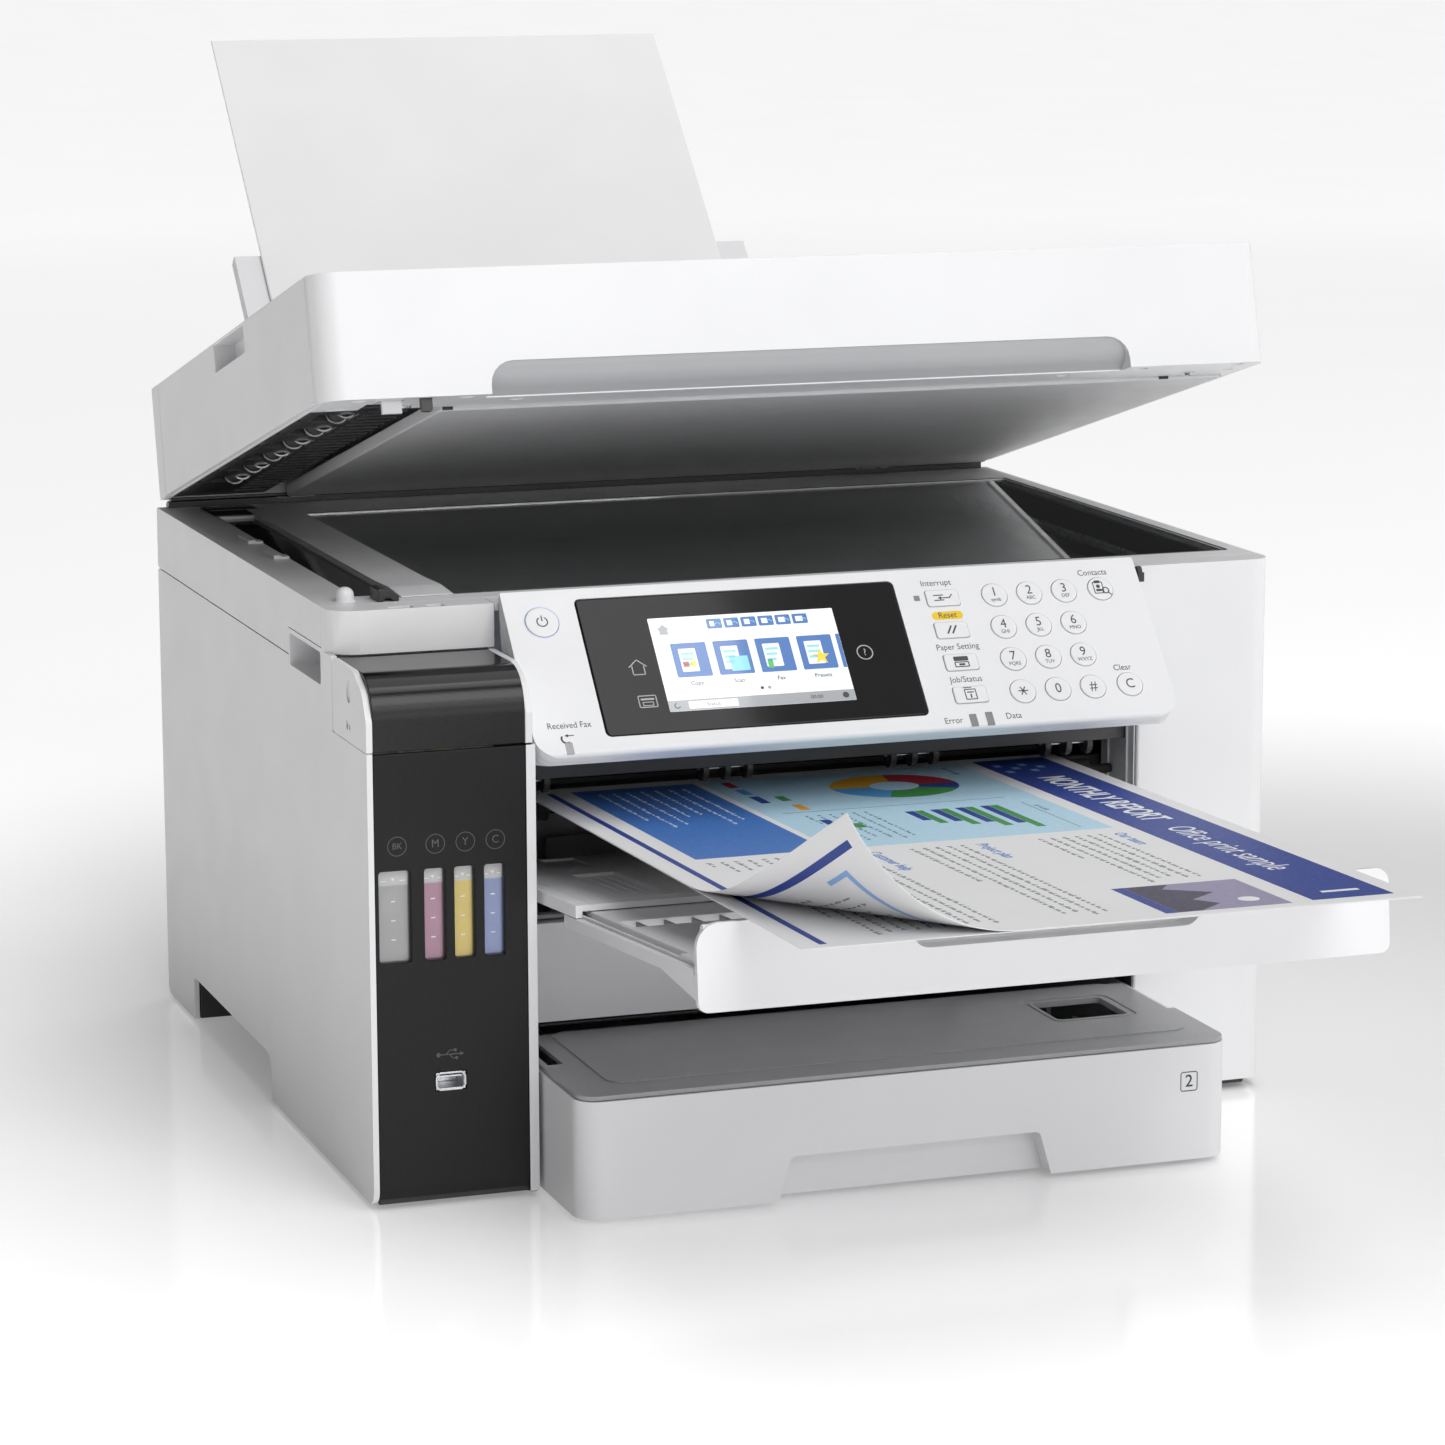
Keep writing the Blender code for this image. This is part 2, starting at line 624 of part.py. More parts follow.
# ---- document cover with its feeder ----
def document_lid(lift):
    """Drawn shut, with y running back from the hinge axis and z up from the lid's bottom edge."""
    hinge = pivot("lid_pivot", (0.0, LID_AXIS_Y, LID_AXIS_Z), lift, -LID_OPEN)
    front, back = -LID_REACH, -LID_BACK
    plan = rounded(
        [
            (-HALF_WIDTH, front, LID_CORNER), (-HALF_WIDTH, back, 3), (HALF_WIDTH, back, 3),
            (HALF_WIDTH, front, 8),
        ]
    )
    housing = slab("lid_housing", plan, "xy", 0.0, LID_HEIGHT, hinge)
    inside = (front + WALL, back - WALL)
    skin, mat_front = 55.0, -358.0
    grip = rounded([(-169.0, -5, 0), (179.0, -5, 0), (179.0, 16.6, 12), (-169.0, 16.6, 12)], 5)
    inner_x, inner_z = -HALF_WIDTH + WALL + GAP, LID_HEIGHT - WALL - GAP
    feeder_cover = [
        (-FAR, -50), (inner_x, -50), (inner_x, inner_z), (ADF_RIGHT + GAP, inner_z),
        (ADF_RIGHT + GAP, FAR), (-FAR, FAR),
    ]
    cut(
        housing,
        box(
            "hollow_right",
            (ADF_RIGHT + 10, HALF_WIDTH - WALL),
            (mat_front + 6, inside[1]),
            (-5, skin),
            hinge,
        ),
        box(
            "hollow_left",
            (TRACK_X[0] - GAP, ADF_RIGHT + 7),
            (TRACK_Y[0] - GAP, inside[1]),
            (-5, 19.0),
            hinge,
        ),
        slab("feeder_cover_seat", feeder_cover, "xz", -ADF_FRONT - GAP, -ADF_BACK + GAP, hinge),
        box(
            "notch_clearance", (-FAR, -HALF_WIDTH + 15), (-253.0, -175.0), (LID_HEIGHT - 19, FAR), hinge
        ),
        box(
            "feeder_bay",
            (-HALF_WIDTH + 9, ADF_RIGHT - 4),
            (-ADF_FRONT + 9, -ADF_BACK - 4),
            (22.0, FAR),
            hinge,
        ),
        slab("lid_grip", grip, "xz", -FAR, front + 13.0, hinge),
        box("mat_seat", (-187.0, 251.0), (mat_front - 1, -15.0), (-5, 6.0), hinge),
        box("flap_seat", (-58.0, 132.0), (-352.0, -68.0), (LID_HEIGHT - 4.2, FAR), hinge),
    )
    paint(housing, WHITE, 0.36)

    side_wall = rounded(
        [
            (-ADF_FRONT, 0.6, 0), (-ADF_BACK, 0.6, 0), (-ADF_BACK, LID_HEIGHT, 0),
            (-ADF_FRONT, LID_HEIGHT, 0),
        ]
    )
    cover_pivot = pivot("adf_cover_pivot", (ADF_RIGHT, 0.0, LID_HEIGHT), hinge)
    reach = -HALF_WIDTH - ADF_RIGHT
    sunk = [(y, z - LID_HEIGHT) for y, z in side_wall]
    cover = slab("adf_cover", sunk, "yz", reach, reach + WALL, cover_pivot)
    join(cover, box("adf_top", (reach, 0.0), (-ADF_FRONT, -ADF_BACK), (-WALL, 0.0), cover_pivot))
    notch = ((reach - 5, reach + 12), (-250.0, -178.0), (-16.0, -NOTCH_ROOF), cover_pivot)
    cut(cover, box("adf_notch", *notch))
    cup = box("adf_notch_cup", (reach, reach + 14.4), (-252.4, -175.6), (-18.4, -0.5), cover_pivot)
    cut(cup, box("adf_notch_hollow", *notch))
    join(cover, cup)
    paint(cover, WHITE, 0.36)

    flap_pivot = pivot("adf_flap_pivot", (-57.4, 0.0, LID_HEIGHT), hinge)
    flap = box("adf_input_flap", (0.0, 188.8), (-351.4, -68.6), (-3.6, 0.0), flap_pivot)
    paint(flap, OFF_WHITE, 0.4)

    feeder = box("adf_paper_path", TRACK_X, TRACK_Y, (1.0, 18.0), hinge)
    cut(
        feeder,
        *(
            box("path_slot", (-243.0, -222.0), (y, y + 26), (-5, 7), hinge)
            for y in range(-340, -60, 48)
        ),
    )
    paint(feeder, BLACK, 0.5)

    mat = box("document_mat", (-184.4, 250.0), (mat_front, -16.0), (-1.9, 5.0), hinge)
    paint(mat, OFF_WHITE, 0.6)

    bar = rod("lid_hinge_bar", 2.1, (-215, 0, 0), (215, 0, 0), hinge, 12)
    for x in (-190.0, 170.0):
        join(bar, box("knuckle", (x, x + 24), (-LID_BACK + GAP, 1.0), (-1.6, 9.0), hinge))
    paint(bar, DARK_GREY, 0.4)


# ---- control panel ----
def on_face(x, v):
    """A point on the panel, v down its face from the top edge, measured from its pivot."""
    lean = radians(PANEL_LEAN)
    y = PANEL_TOP_Y - v * sin(lean) - PANEL_AXIS_Y
    z = PANEL_TOP_Z - v * cos(lean) - PANEL_AXIS_Z
    return (x, y, z)


def control_panel(body):
    hinge = pivot("panel_pivot", (0.0, PANEL_AXIS_Y, PANEL_AXIS_Z), body)
    face = pivot("panel_face", on_face(0.0, 0.0), hinge, 90 - PANEL_LEAN)
    # In the face's own frame x runs right, y up the slope and z out of the face.
    section = rounded(
        [
            (0, 0, 1),
            (-PANEL_LENGTH, 0, 2),
            (-PANEL_LENGTH, -9, 3),
            (-PANEL_LENGTH + 6, -PANEL_DEPTH, 3),
            (-22, -PANEL_DEPTH, 0),
            (-4, -5, 0),
            (0, -2.2, 0),
        ],
        3,
    )
    panel = slab("control_panel", section, "yz", *PANEL_X, face)
    left, right = PANEL_X
    for sign, edge in ((1, left), (-1, right)):
        corner = rounded(
            [
                (edge, -PANEL_LENGTH, 12),
                (edge + sign * 40, -PANEL_LENGTH, 0),
                (edge + sign * 40, -40, 0),
                (edge, -40, 0),
            ],
            5,
        )
        keep = slab("corner_keep", corner, "xy", -FAR, FAR, face)
        trim = box(
            "corner_trim",
            (edge - sign * 9, edge + sign * 14),
            (-PANEL_LENGTH - 9, -PANEL_LENGTH + 14),
            (-60, 60),
            face,
        )
        cut(trim, keep)
        cut(panel, trim)
    touch_y = (-TOUCH_V[1], -TOUCH_V[0])
    seat_x = (TOUCH_X[0] - 0.3, TOUCH_X[1] + 0.3)
    seat_y = (touch_y[0] - 0.3, touch_y[1] + 0.3)
    cut(panel, box("touch_seat", seat_x, seat_y, (-3.4, 20), face))
    paint(box("touch_display", TOUCH_X, touch_y, (-3.0, 0.4), face), BLACK, 0.08)

    keys = [("key_power", -153.2, 19.3, POWER_RADIUS)]
    digits = ("1", "2", "3", "4", "5", "6", "7", "8", "9", "star", "0", "hash")
    for i, digit in enumerate(digits):
        keys.append(("key_" + digit, KEY_COLUMNS[i % 3], KEY_ROWS[i // 3], KEY_RADIUS))
    keys.append(("key_contacts", KEY_COLUMNS[3], KEY_ROWS[0], KEY_RADIUS))
    keys.append(("key_clear", KEY_COLUMNS[3], KEY_ROWS[3], KEY_RADIUS))
    for name, x, v, radius in keys:
        park = pivot(name + "_park", (x, -v, 0.0), face)
        cut(panel, rod(name + "_hole", radius + 0.3, (x, -v, -KEY_POCKET), (x, -v, 9), face, 24))
        stem = rod(name, radius, (0, 0, KEY_STAND - KEY_THICK), (0, 0, KEY_STAND), park, 24)
        paint(stem, WHITE, 0.35)
    wide, tall = MODE_KEY_SIZE
    for name, v in zip(("key_interrupt", "key_reset", "key_paper_setting", "key_job_status"), KEY_ROWS):
        park = pivot(name + "_park", (MODE_KEY_X, -v, 0.0), face)
        outline = rounded(
            [
                (-wide / 2, -tall / 2, 2), (wide / 2, -tall / 2, 2), (wide / 2, tall / 2, 2),
                (-wide / 2, tall / 2, 2),
            ],
            3,
        )
        grown = [(u + (0.3 if u > 0 else -0.3), w + (0.3 if w > 0 else -0.3)) for u, w in outline]
        placed = [(u + MODE_KEY_X, w - v) for u, w in grown]
        cut(panel, slab(name + "_hole", placed, "xy", -KEY_POCKET, 9, face))
        paint(slab(name, outline, "xy", KEY_STAND - KEY_THICK, KEY_STAND, park), WHITE, 0.35)
    paint(panel, WHITE, 0.36)


# ---- cassettes ----
def cassette(name, spec, body):
    """An open-topped paper drawer with a finger recess under its front."""
    park = pivot(name + "_park", (0.0, spec["front"], spec["z"][0]), body)
    height = spec["z"][1] - spec["z"][0]
    side_height = spec["wall_top"] - spec["z"][0]
    depth = spec["rear"] - spec["front"]
    x0, x1 = CASSETTE_X
    bottom = 0.0 if spec["z"][0] > 10 else 3.4
    plan = rounded([(x0, 0, 13), (x1, 0, 13), (x1, depth, 2), (x0, depth, 2)], 5)
    drawer = slab(name, plan, "xy", 0.0, height, park)
    recess_left, recess_right = -68.0, 81.0
    recess = rounded(
        [
            (recess_left, -5, 0), (recess_right, -5, 0), (recess_right - 8, 22.6, 3),
            (recess_left + 8, 22.6, 3),
        ],
        4,
    )
    front_wall = 20.0
    cut(
        drawer,
        box(
            name + "_inside", (x0 + 2.6, x1 - 2.6), (front_wall, depth - 2.6), (bottom + 2.4, FAR), park
        ),
        box(name + "_low_sides", (x0 - 9, x1 + 9), (front_wall + 1, FAR), (side_height, FAR), park),
        slab(name + "_recess", recess, "xz", -FAR, 12.0, park),
    )
    if bottom:
        cut(drawer, box(name + "_raised_floor", (x0 - 9, x1 + 9), (125.0, FAR), (-9, bottom), park))
    return park, drawer


def cassettes(body):
    upper = cassette("cassette_1", CASSETTE_1, body)[1]
    paint(upper, OFF_WHITE, 0.42)
    park, lower = cassette("cassette_2", CASSETTE_2, body)
    height = CASSETTE_2["z"][1] - CASSETTE_2["z"][0]
    x0, x1 = CASSETTE_X
    lid_y = (1.2, 124.0)
    plan = rounded(
        [(x0 + 1, lid_y[0], 12), (x1 - 1, lid_y[0], 12), (x1 - 1, lid_y[1], 0), (x0 + 1, lid_y[1], 0)],
        5,
    )
    cut(
        lower,
        slab(
            "cover_seat",
            [(x0 - 5, -5), (x1 + 5, -5), (x1 + 5, lid_y[1] + 0.4), (x0 - 5, lid_y[1] + 0.4)],
            "xy",
            height - 3.4,
            FAR,
            park,
        ),
    )
    cover = slab("cassette_2_cover", plan, "xy", height - 3.0, height, park)
    window = rounded([(108.0, 59.0, 4), (149.0, 59.0, 4), (149.0, 99.0, 4), (108.0, 99.0, 4)], 3)
    cut(cover, slab("cover_window", window, "xy", 0, FAR, park))
    paint(lower, OFF_WHITE, 0.42)
    paint(cover, LIGHT_GREY, 0.45)


# ---- output tray ----
def output_tray(body):
    """Two telescoping stages on one slope; here -y runs forwards along it and z out of the bed."""
    slope = pivot("tray_inner_slope", (0.0, PILLAR_FRONT, TRAY_ORIGIN_Z), body, -TRAY_SLOPE)
    x0, x1 = TRAY_X
    inner = box("output_tray_inner", (x0, x1), (-INNER_FRONT, -INNER_BACK), (-3.0, 0.0), slope)
    for edge, sign in ((x0, 1), (x1, -1)):
        skirt = box(
            "inner_skirt", (edge, edge + sign * 3.4), (-INNER_FRONT, -INNER_BACK), (-6.2, -1.0), slope
        )
        join(inner, skirt)
    cut(inner, box("inner_window", (-137.0, -114.0), (-85.0, -9.0), (-1.4, 9.0), slope))
    paint(inner, OFF_WHITE, 0.4)

    stage = pivot("tray_outer_slope", (0.0, 0.0, 0.0), slope)
    bed_top, rail_low = -3.6, -12.6
    front = -OUTER_FRONT
    outer = box(
        "output_tray_outer", (x0 + 7.5, x1 - 7.5), (front + 4, -OUTER_BACK), (-7.4, bed_top), stage
    )
    panel_back, panel_low, panel_top = 15.0, -26.0, 14.4
    ledge = (-12.6, -6.7)
    for edge, sign in ((x0, 1), (x1, -1)):
        join(outer, box("side_rail", (edge, edge + sign * 9), (front + 6, -OUTER_BACK), ledge, stage))
        gusset = [(front + 4, panel_low + 6), (front + 60, rail_low + 1), (front + 4, rail_low + 1)]
        low_x, high_x = sorted((edge + sign * 0.4, edge + sign * 3.0))
        join(outer, slab("gusset", gusset, "yz", low_x, high_x, stage))
    profile = rounded(
        [(x0, panel_low, 3), (x1, panel_low, 3), (x1, panel_top, 5), (x0, panel_top, 9)], 4
    )
    face = slab("tray_face", profile, "xz", front, front + 3.2, stage)
    scoop = rounded(
        [
            (front + 1.4, -7.0, 0), (front + 32, -7.0, 0), (front + 32, bed_top, 0),
            (front + 17, bed_top, 11), (front + 3, panel_top - 1, 0), (front + 1.4, panel_top - 1, 0),
        ],
        5,
    )
    join(outer, face, slab("tray_scoop", scoop, "yz", x0 + 8, x1 - 8, stage))
    lip = rounded([(-74, panel_top + 9, 0), (-62, -5.0, 8), (76, -5.0, 8), (88, panel_top + 9, 0)], 4)
    cut(
        outer,
        slab("lip_dip", lip, "xz", -FAR, front + panel_back, stage),
        box("bed_slot", (-158.0, 165.0), (-174.0, -153.0), (-9.0, 0.0), stage),
    )
    paint(outer, OFF_WHITE, 0.4)


# ---- rear paper feed and sheets ----
def rear_feed(body):
    """Support that leans back; here y runs up its slope and z out of its face."""
    pivot_at = (0.0, FEED_AXIS_Y, FEED_AXIS_Z)
    slope = pivot("support_pivot", pivot_at, body, FEED_SLOPE)
    support = box("paper_support", (-160.0, 160.0), (0.0, 118.0), (-3.0, 0.0), slope)
    join(support, rod("support_barrel", 3.0, (-160, 2.4, -1.5), (160, 2.4, -1.5), slope, 12))
    paint(support, LIGHT_GREY, 0.45)

    sides = [
        (-166.0, -5.0), (-162.0, -5.0), (-162.0, 0.4), (162.0, 0.4), (162.0, -5.0), (166.0, -5.0),
        (166.0, 3.2), (-166.0, 3.2),
    ]
    extension = slab("paper_support_extension", sides, "xz", 108.0, SUPPORT_LENGTH, slope)
    paint(extension, LIGHT_GREY, 0.45)

    low_end = FEED_REACH - SHEET_LENGTH - 4
    blank = box(
        "loaded_sheet",
        (-SHEET_WIDTH / 2 - 1.5, SHEET_WIDTH / 2 - 1.5),
        (low_end + 4, FEED_REACH),
        (4.6, 4.6 + SHEET_THICK),
        slope,
    )
    paint(blank, PAPER, 0.6)


def printed_sheet(body):
    lean = radians(PRINTED_SLOPE)
    run = SHEET_LENGTH * cos(lean)
    rear_y = PRINTED_FRONT + run
    slope = pivot("printed_sheet_slope", (0.0, rear_y, PRINTED_REAR_Z), body, -PRINTED_SLOPE)
    half = SHEET_WIDTH / 2
    paint(
        box("printed_sheet", (-half, half), (-SHEET_LENGTH, 0.0), (0.0, SHEET_THICK), slope),
        PAPER,
        0.55,
    )


def main():
    clear_scene()
    body = pivot("DATUM", (0.0, DATUM_Y, 0.0))
    base_frame(body)
    side_covers(body)
    rear_cover(body)
    rim_frame(body)
    ink_unit(body)
    tank_cover(body)
    print_engine(body)
    document_lid(scanner_unit(body))
    control_panel(body)
    cassettes(body)
    output_tray(body)
    rear_feed(body)
    printed_sheet(body)
    bpy.context.view_layer.update()


main()
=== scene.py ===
import random
from functools import partial
from math import cos, pi, radians, sin, tan

import bmesh
import bpy
from mathutils import Matrix, Vector


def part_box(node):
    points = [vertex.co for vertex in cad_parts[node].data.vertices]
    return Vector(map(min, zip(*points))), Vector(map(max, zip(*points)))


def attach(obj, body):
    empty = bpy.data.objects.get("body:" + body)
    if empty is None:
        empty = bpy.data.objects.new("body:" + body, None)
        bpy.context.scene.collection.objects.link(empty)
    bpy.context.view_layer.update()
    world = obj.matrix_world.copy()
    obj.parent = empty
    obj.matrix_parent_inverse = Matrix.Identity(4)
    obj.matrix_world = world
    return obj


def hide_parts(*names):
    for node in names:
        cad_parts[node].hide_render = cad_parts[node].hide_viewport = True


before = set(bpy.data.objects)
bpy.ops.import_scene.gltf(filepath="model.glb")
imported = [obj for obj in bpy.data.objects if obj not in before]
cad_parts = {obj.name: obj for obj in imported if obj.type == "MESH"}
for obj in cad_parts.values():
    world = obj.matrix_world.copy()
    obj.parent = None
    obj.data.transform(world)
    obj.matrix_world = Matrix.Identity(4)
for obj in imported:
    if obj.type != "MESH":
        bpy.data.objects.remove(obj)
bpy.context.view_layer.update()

# Lengths are in millimetres in the printer's own frame: x right, y back from the ink unit's face, z up.
MM = 0.001
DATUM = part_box("left_side_cover")[0].y


# ---- placing ----
def place(x, y, z, turn=0.0):
    """Matrix from a local frame in millimetres, turned about X, to the scene in metres."""
    spot = Matrix.Translation((x * MM, y * MM + DATUM, z * MM))
    return spot @ Matrix.Rotation(radians(turn), 4, "X") @ Matrix.Scale(MM, 4)


LID_HINGE_Y = 465.5
BODY = place(0, 0, 0)
LID = place(0, LID_HINGE_Y, 292.5, -14.6)
PANEL = place(0, 62.0, 296.0, 48.5)
TRAY = place(0, 65.0, 149.2, -5.1)
FEED = place(0, 492.0, 251.8, 46.0)
SHEET_HALF, SHEET_LONG, SHEET_SLOPE = 148.5, 420.0, 1.67
SHEET = place(0, -313.0 + SHEET_LONG * cos(radians(SHEET_SLOPE)), 183.4, -SHEET_SLOPE)


# ---- mesh building, in local millimetres ----
def rounded(corners, steps=8):
    """An outline from (u, v, radius) corners, each rounded by an arc of that radius."""
    outline = []
    for i, (u, v, radius) in enumerate(corners):
        here = Vector((u, v))
        back = (Vector(corners[i - 1][:2]) - here).normalized()
        ahead = (Vector(corners[(i + 1) % len(corners)][:2]) - here).normalized()
        if radius <= 0:
            outline.append((u, v))
            continue
        half = back.angle(ahead) / 2
        centre = here + (back + ahead).normalized() * radius / sin(half)
        first = here + back * radius / tan(half) - centre
        last = here + ahead * radius / tan(half) - centre
        swing = first.angle_signed(last)
        for step in range(steps + 1):
            spot = centre + Matrix.Rotation(-swing * step / steps, 2) @ first
            outline.append((spot.x, spot.y))
    return outline


def oblong(u0, v0, u1, v1, radius, steps=6):
    """A rectangle outline with rounded corners."""
    return rounded([(u0, v0, radius), (u1, v0, radius), (u1, v1, radius), (u0, v1, radius)], steps)


def ring(u, v, radius, steps=48):
    """A circle outline."""
    turns = [2 * pi * i / steps for i in range(steps)]
    return [(u + radius * cos(turn), v + radius * sin(turn)) for turn in turns]


LIE = {
    "xy": lambda u, v, w: (u, v, w),
    "yz": lambda u, v, w: (w, u, v),
    "xz": lambda u, v, w: (u, w, v),
}


def prism(outline, plane, low, high):
    """A flat outline thickened along the third axis."""
    form = bmesh.new()
    lay = LIE[plane]
    first = [form.verts.new(lay(u, v, low)) for u, v in outline]
    last = [form.verts.new(lay(u, v, high)) for u, v in outline]
    form.faces.new(first)
    form.faces.new(last)
    for i in range(len(outline)):
        j = (i + 1) % len(outline)
        form.faces.new((first[i], first[j], last[j], last[i]))
    bmesh.ops.recalc_face_normals(form, faces=form.faces)
    return form


def plate(u0, v0, u1, v1, radius, low, high, plane="xy", steps=6):
    """An oblong with rounded corners, thickened along the third axis."""
    return prism(oblong(u0, v0, u1, v1, radius, steps), plane, low, high)


def block(x, y, z):
    """A box given by its extent along each axis."""
    return prism([(x[0], y[0]), (x[1], y[0]), (x[1], y[1]), (x[0], y[1])], "xy", *z)


def post(radius, x, y, low, high, steps=32):
    """An upright round post."""
    form = bmesh.new()
    bmesh.ops.create_cone(
        form, cap_ends=True, segments=steps, radius1=radius, radius2=radius, depth=high - low
    )
    form.transform(Matrix.Translation((x, y, (low + high) / 2)))
    return form


def bar(radius, start, end, steps=20):
    """A round bar between two points."""
    first, last = Vector(start), Vector(end)
    form = bmesh.new()
    bmesh.ops.create_cone(
        form, cap_ends=True, segments=steps, radius1=radius, radius2=radius, depth=(last - first).length
    )
    turn = (last - first).to_track_quat("Z", "Y").to_matrix().to_4x4()
    form.transform(Matrix.Translation((first + last) / 2) @ turn)
    return form


def merge(*forms):
    """One mesh that holds several, without joining their surfaces."""
    whole = forms[0]
    for form in forms[1:]:
        mesh = bpy.data.meshes.new("part")
        form.to_mesh(mesh)
        form.free()
        whole.from_mesh(mesh)
        bpy.data.meshes.remove(mesh)
    return whole


def temporary(form):
    """An object that holds the form while a Boolean works on it."""
    mesh = bpy.data.meshes.new("work")
    form.to_mesh(mesh)
    form.free()
    obj = bpy.data.objects.new("work", mesh)
    bpy.context.scene.collection.objects.link(obj)
    return obj


def carve(form, *tools, operation="DIFFERENCE"):
    """Cuts the tools from a form, or joins them to it, and clears the flat faces' inner edges."""
    target = temporary(form)
    helpers = [temporary(tool) for tool in tools]
    for helper in helpers:
        step = target.modifiers.new("carve", "BOOLEAN")
        step.operation = operation
        step.object = helper
        step.solver = "EXACT"
    bpy.context.view_layer.update()
    made = bpy.data.meshes.new_from_object(target.evaluated_get(bpy.context.evaluated_depsgraph_get()))
    for helper in [target, *helpers]:
        bpy.data.objects.remove(helper)
    return tidy(from_mesh(made), 0.002)


def fuse(form, *tools):
    """Joins the tools to a form as one closed surface."""
    return carve(form, *tools, operation="UNION")


def from_mesh(mesh):
    form = bmesh.new()
    form.from_mesh(mesh)
    bpy.data.meshes.remove(mesh)
    return form


def tidy(form, near):
    """Welds points nearer than this, clears edges inside flat faces and splits many-sided ones."""
    bmesh.ops.remove_doubles(form, verts=form.verts, dist=near)
    bmesh.ops.dissolve_limit(form, angle_limit=radians(0.6), verts=form.verts, edges=form.edges)
    bmesh.ops.triangulate(form, faces=[face for face in form.faces if len(face.verts) > 4])
    return form


def from_node(node):
    """A CAD node's solid as a mesh in the printer's frame, in millimetres."""
    form = bmesh.new()
    form.from_mesh(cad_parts[node].data)
    form.transform(BODY.inverted())
    return tidy(form, 0.004)


# ---- pieces ----
CREASE = 32.0  # faces that meet at more degrees than this keep a sharp, bevelled edge


def piece(where, body, name, form, material, slot=None, edge=0.0, segments=3, stands_for=(), angle=CREASE):
    """Puts a form, or several as one, in the scene with bevelled edges, riding on a CAD body."""
    if isinstance(form, list):
        form = merge(*form)
    form.transform(where)
    bmesh.ops.recalc_face_normals(form, faces=form.faces)
    mesh = bpy.data.meshes.new(name)
    form.to_mesh(mesh)
    form.free()
    obj = bpy.data.objects.new(name, mesh)
    bpy.context.scene.collection.objects.link(obj)
    mesh.materials.append(material)
    for polygon in mesh.polygons:
        polygon.use_smooth = True
    mesh.set_sharp_from_angle(angle=radians(angle))
    if edge > 0:
        soften(obj, edge, segments, angle)
    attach(obj, body)
    if stands_for:
        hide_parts(*stands_for)
    return obj


def soften(obj, edge, segments, angle):
    """Rounds the sharp edges and evens the shading of the faces beside them."""
    bevel = obj.modifiers.new("edges", "BEVEL")
    bevel.width = edge * MM
    bevel.segments = segments
    bevel.limit_method = "ANGLE"
    bevel.angle_limit = radians(angle)
    bevel.use_clamp_overlap = True
    bevel.miter_outer = "MITER_ARC"
    bevel.harden_normals = False
    weighted = obj.modifiers.new("normals", "WEIGHTED_NORMAL")
    weighted.keep_sharp = True
    weighted.weight = 90


def finish_node(node, material, body, slot, edge=0.5, segments=2):
    """A CAD node's own shape with softened edges and a real finish."""
    return piece(BODY, body, node + "_shell", from_node(node), material, slot, edge, segments, (node,))


on_unit = partial(piece, BODY, "print_unit")
on_hood = partial(piece, BODY, "tank_hood")
on_scanner = partial(piece, BODY, "scanner_unit")
on_scan_bar = partial(piece, BODY, "scan_carriage")
on_upper_cassette = partial(piece, BODY, "upper_cassette")
on_lower_cassette = partial(piece, BODY, "lower_cassette")
on_lid = partial(piece, LID, "document_lid")
on_panel = partial(piece, PANEL, "operation_panel")
on_sheet = partial(piece, SHEET, "output_sheet")
on_inner_tray = partial(piece, TRAY, "tray_inner")
on_outer_tray = partial(piece, TRAY, "tray_outer")


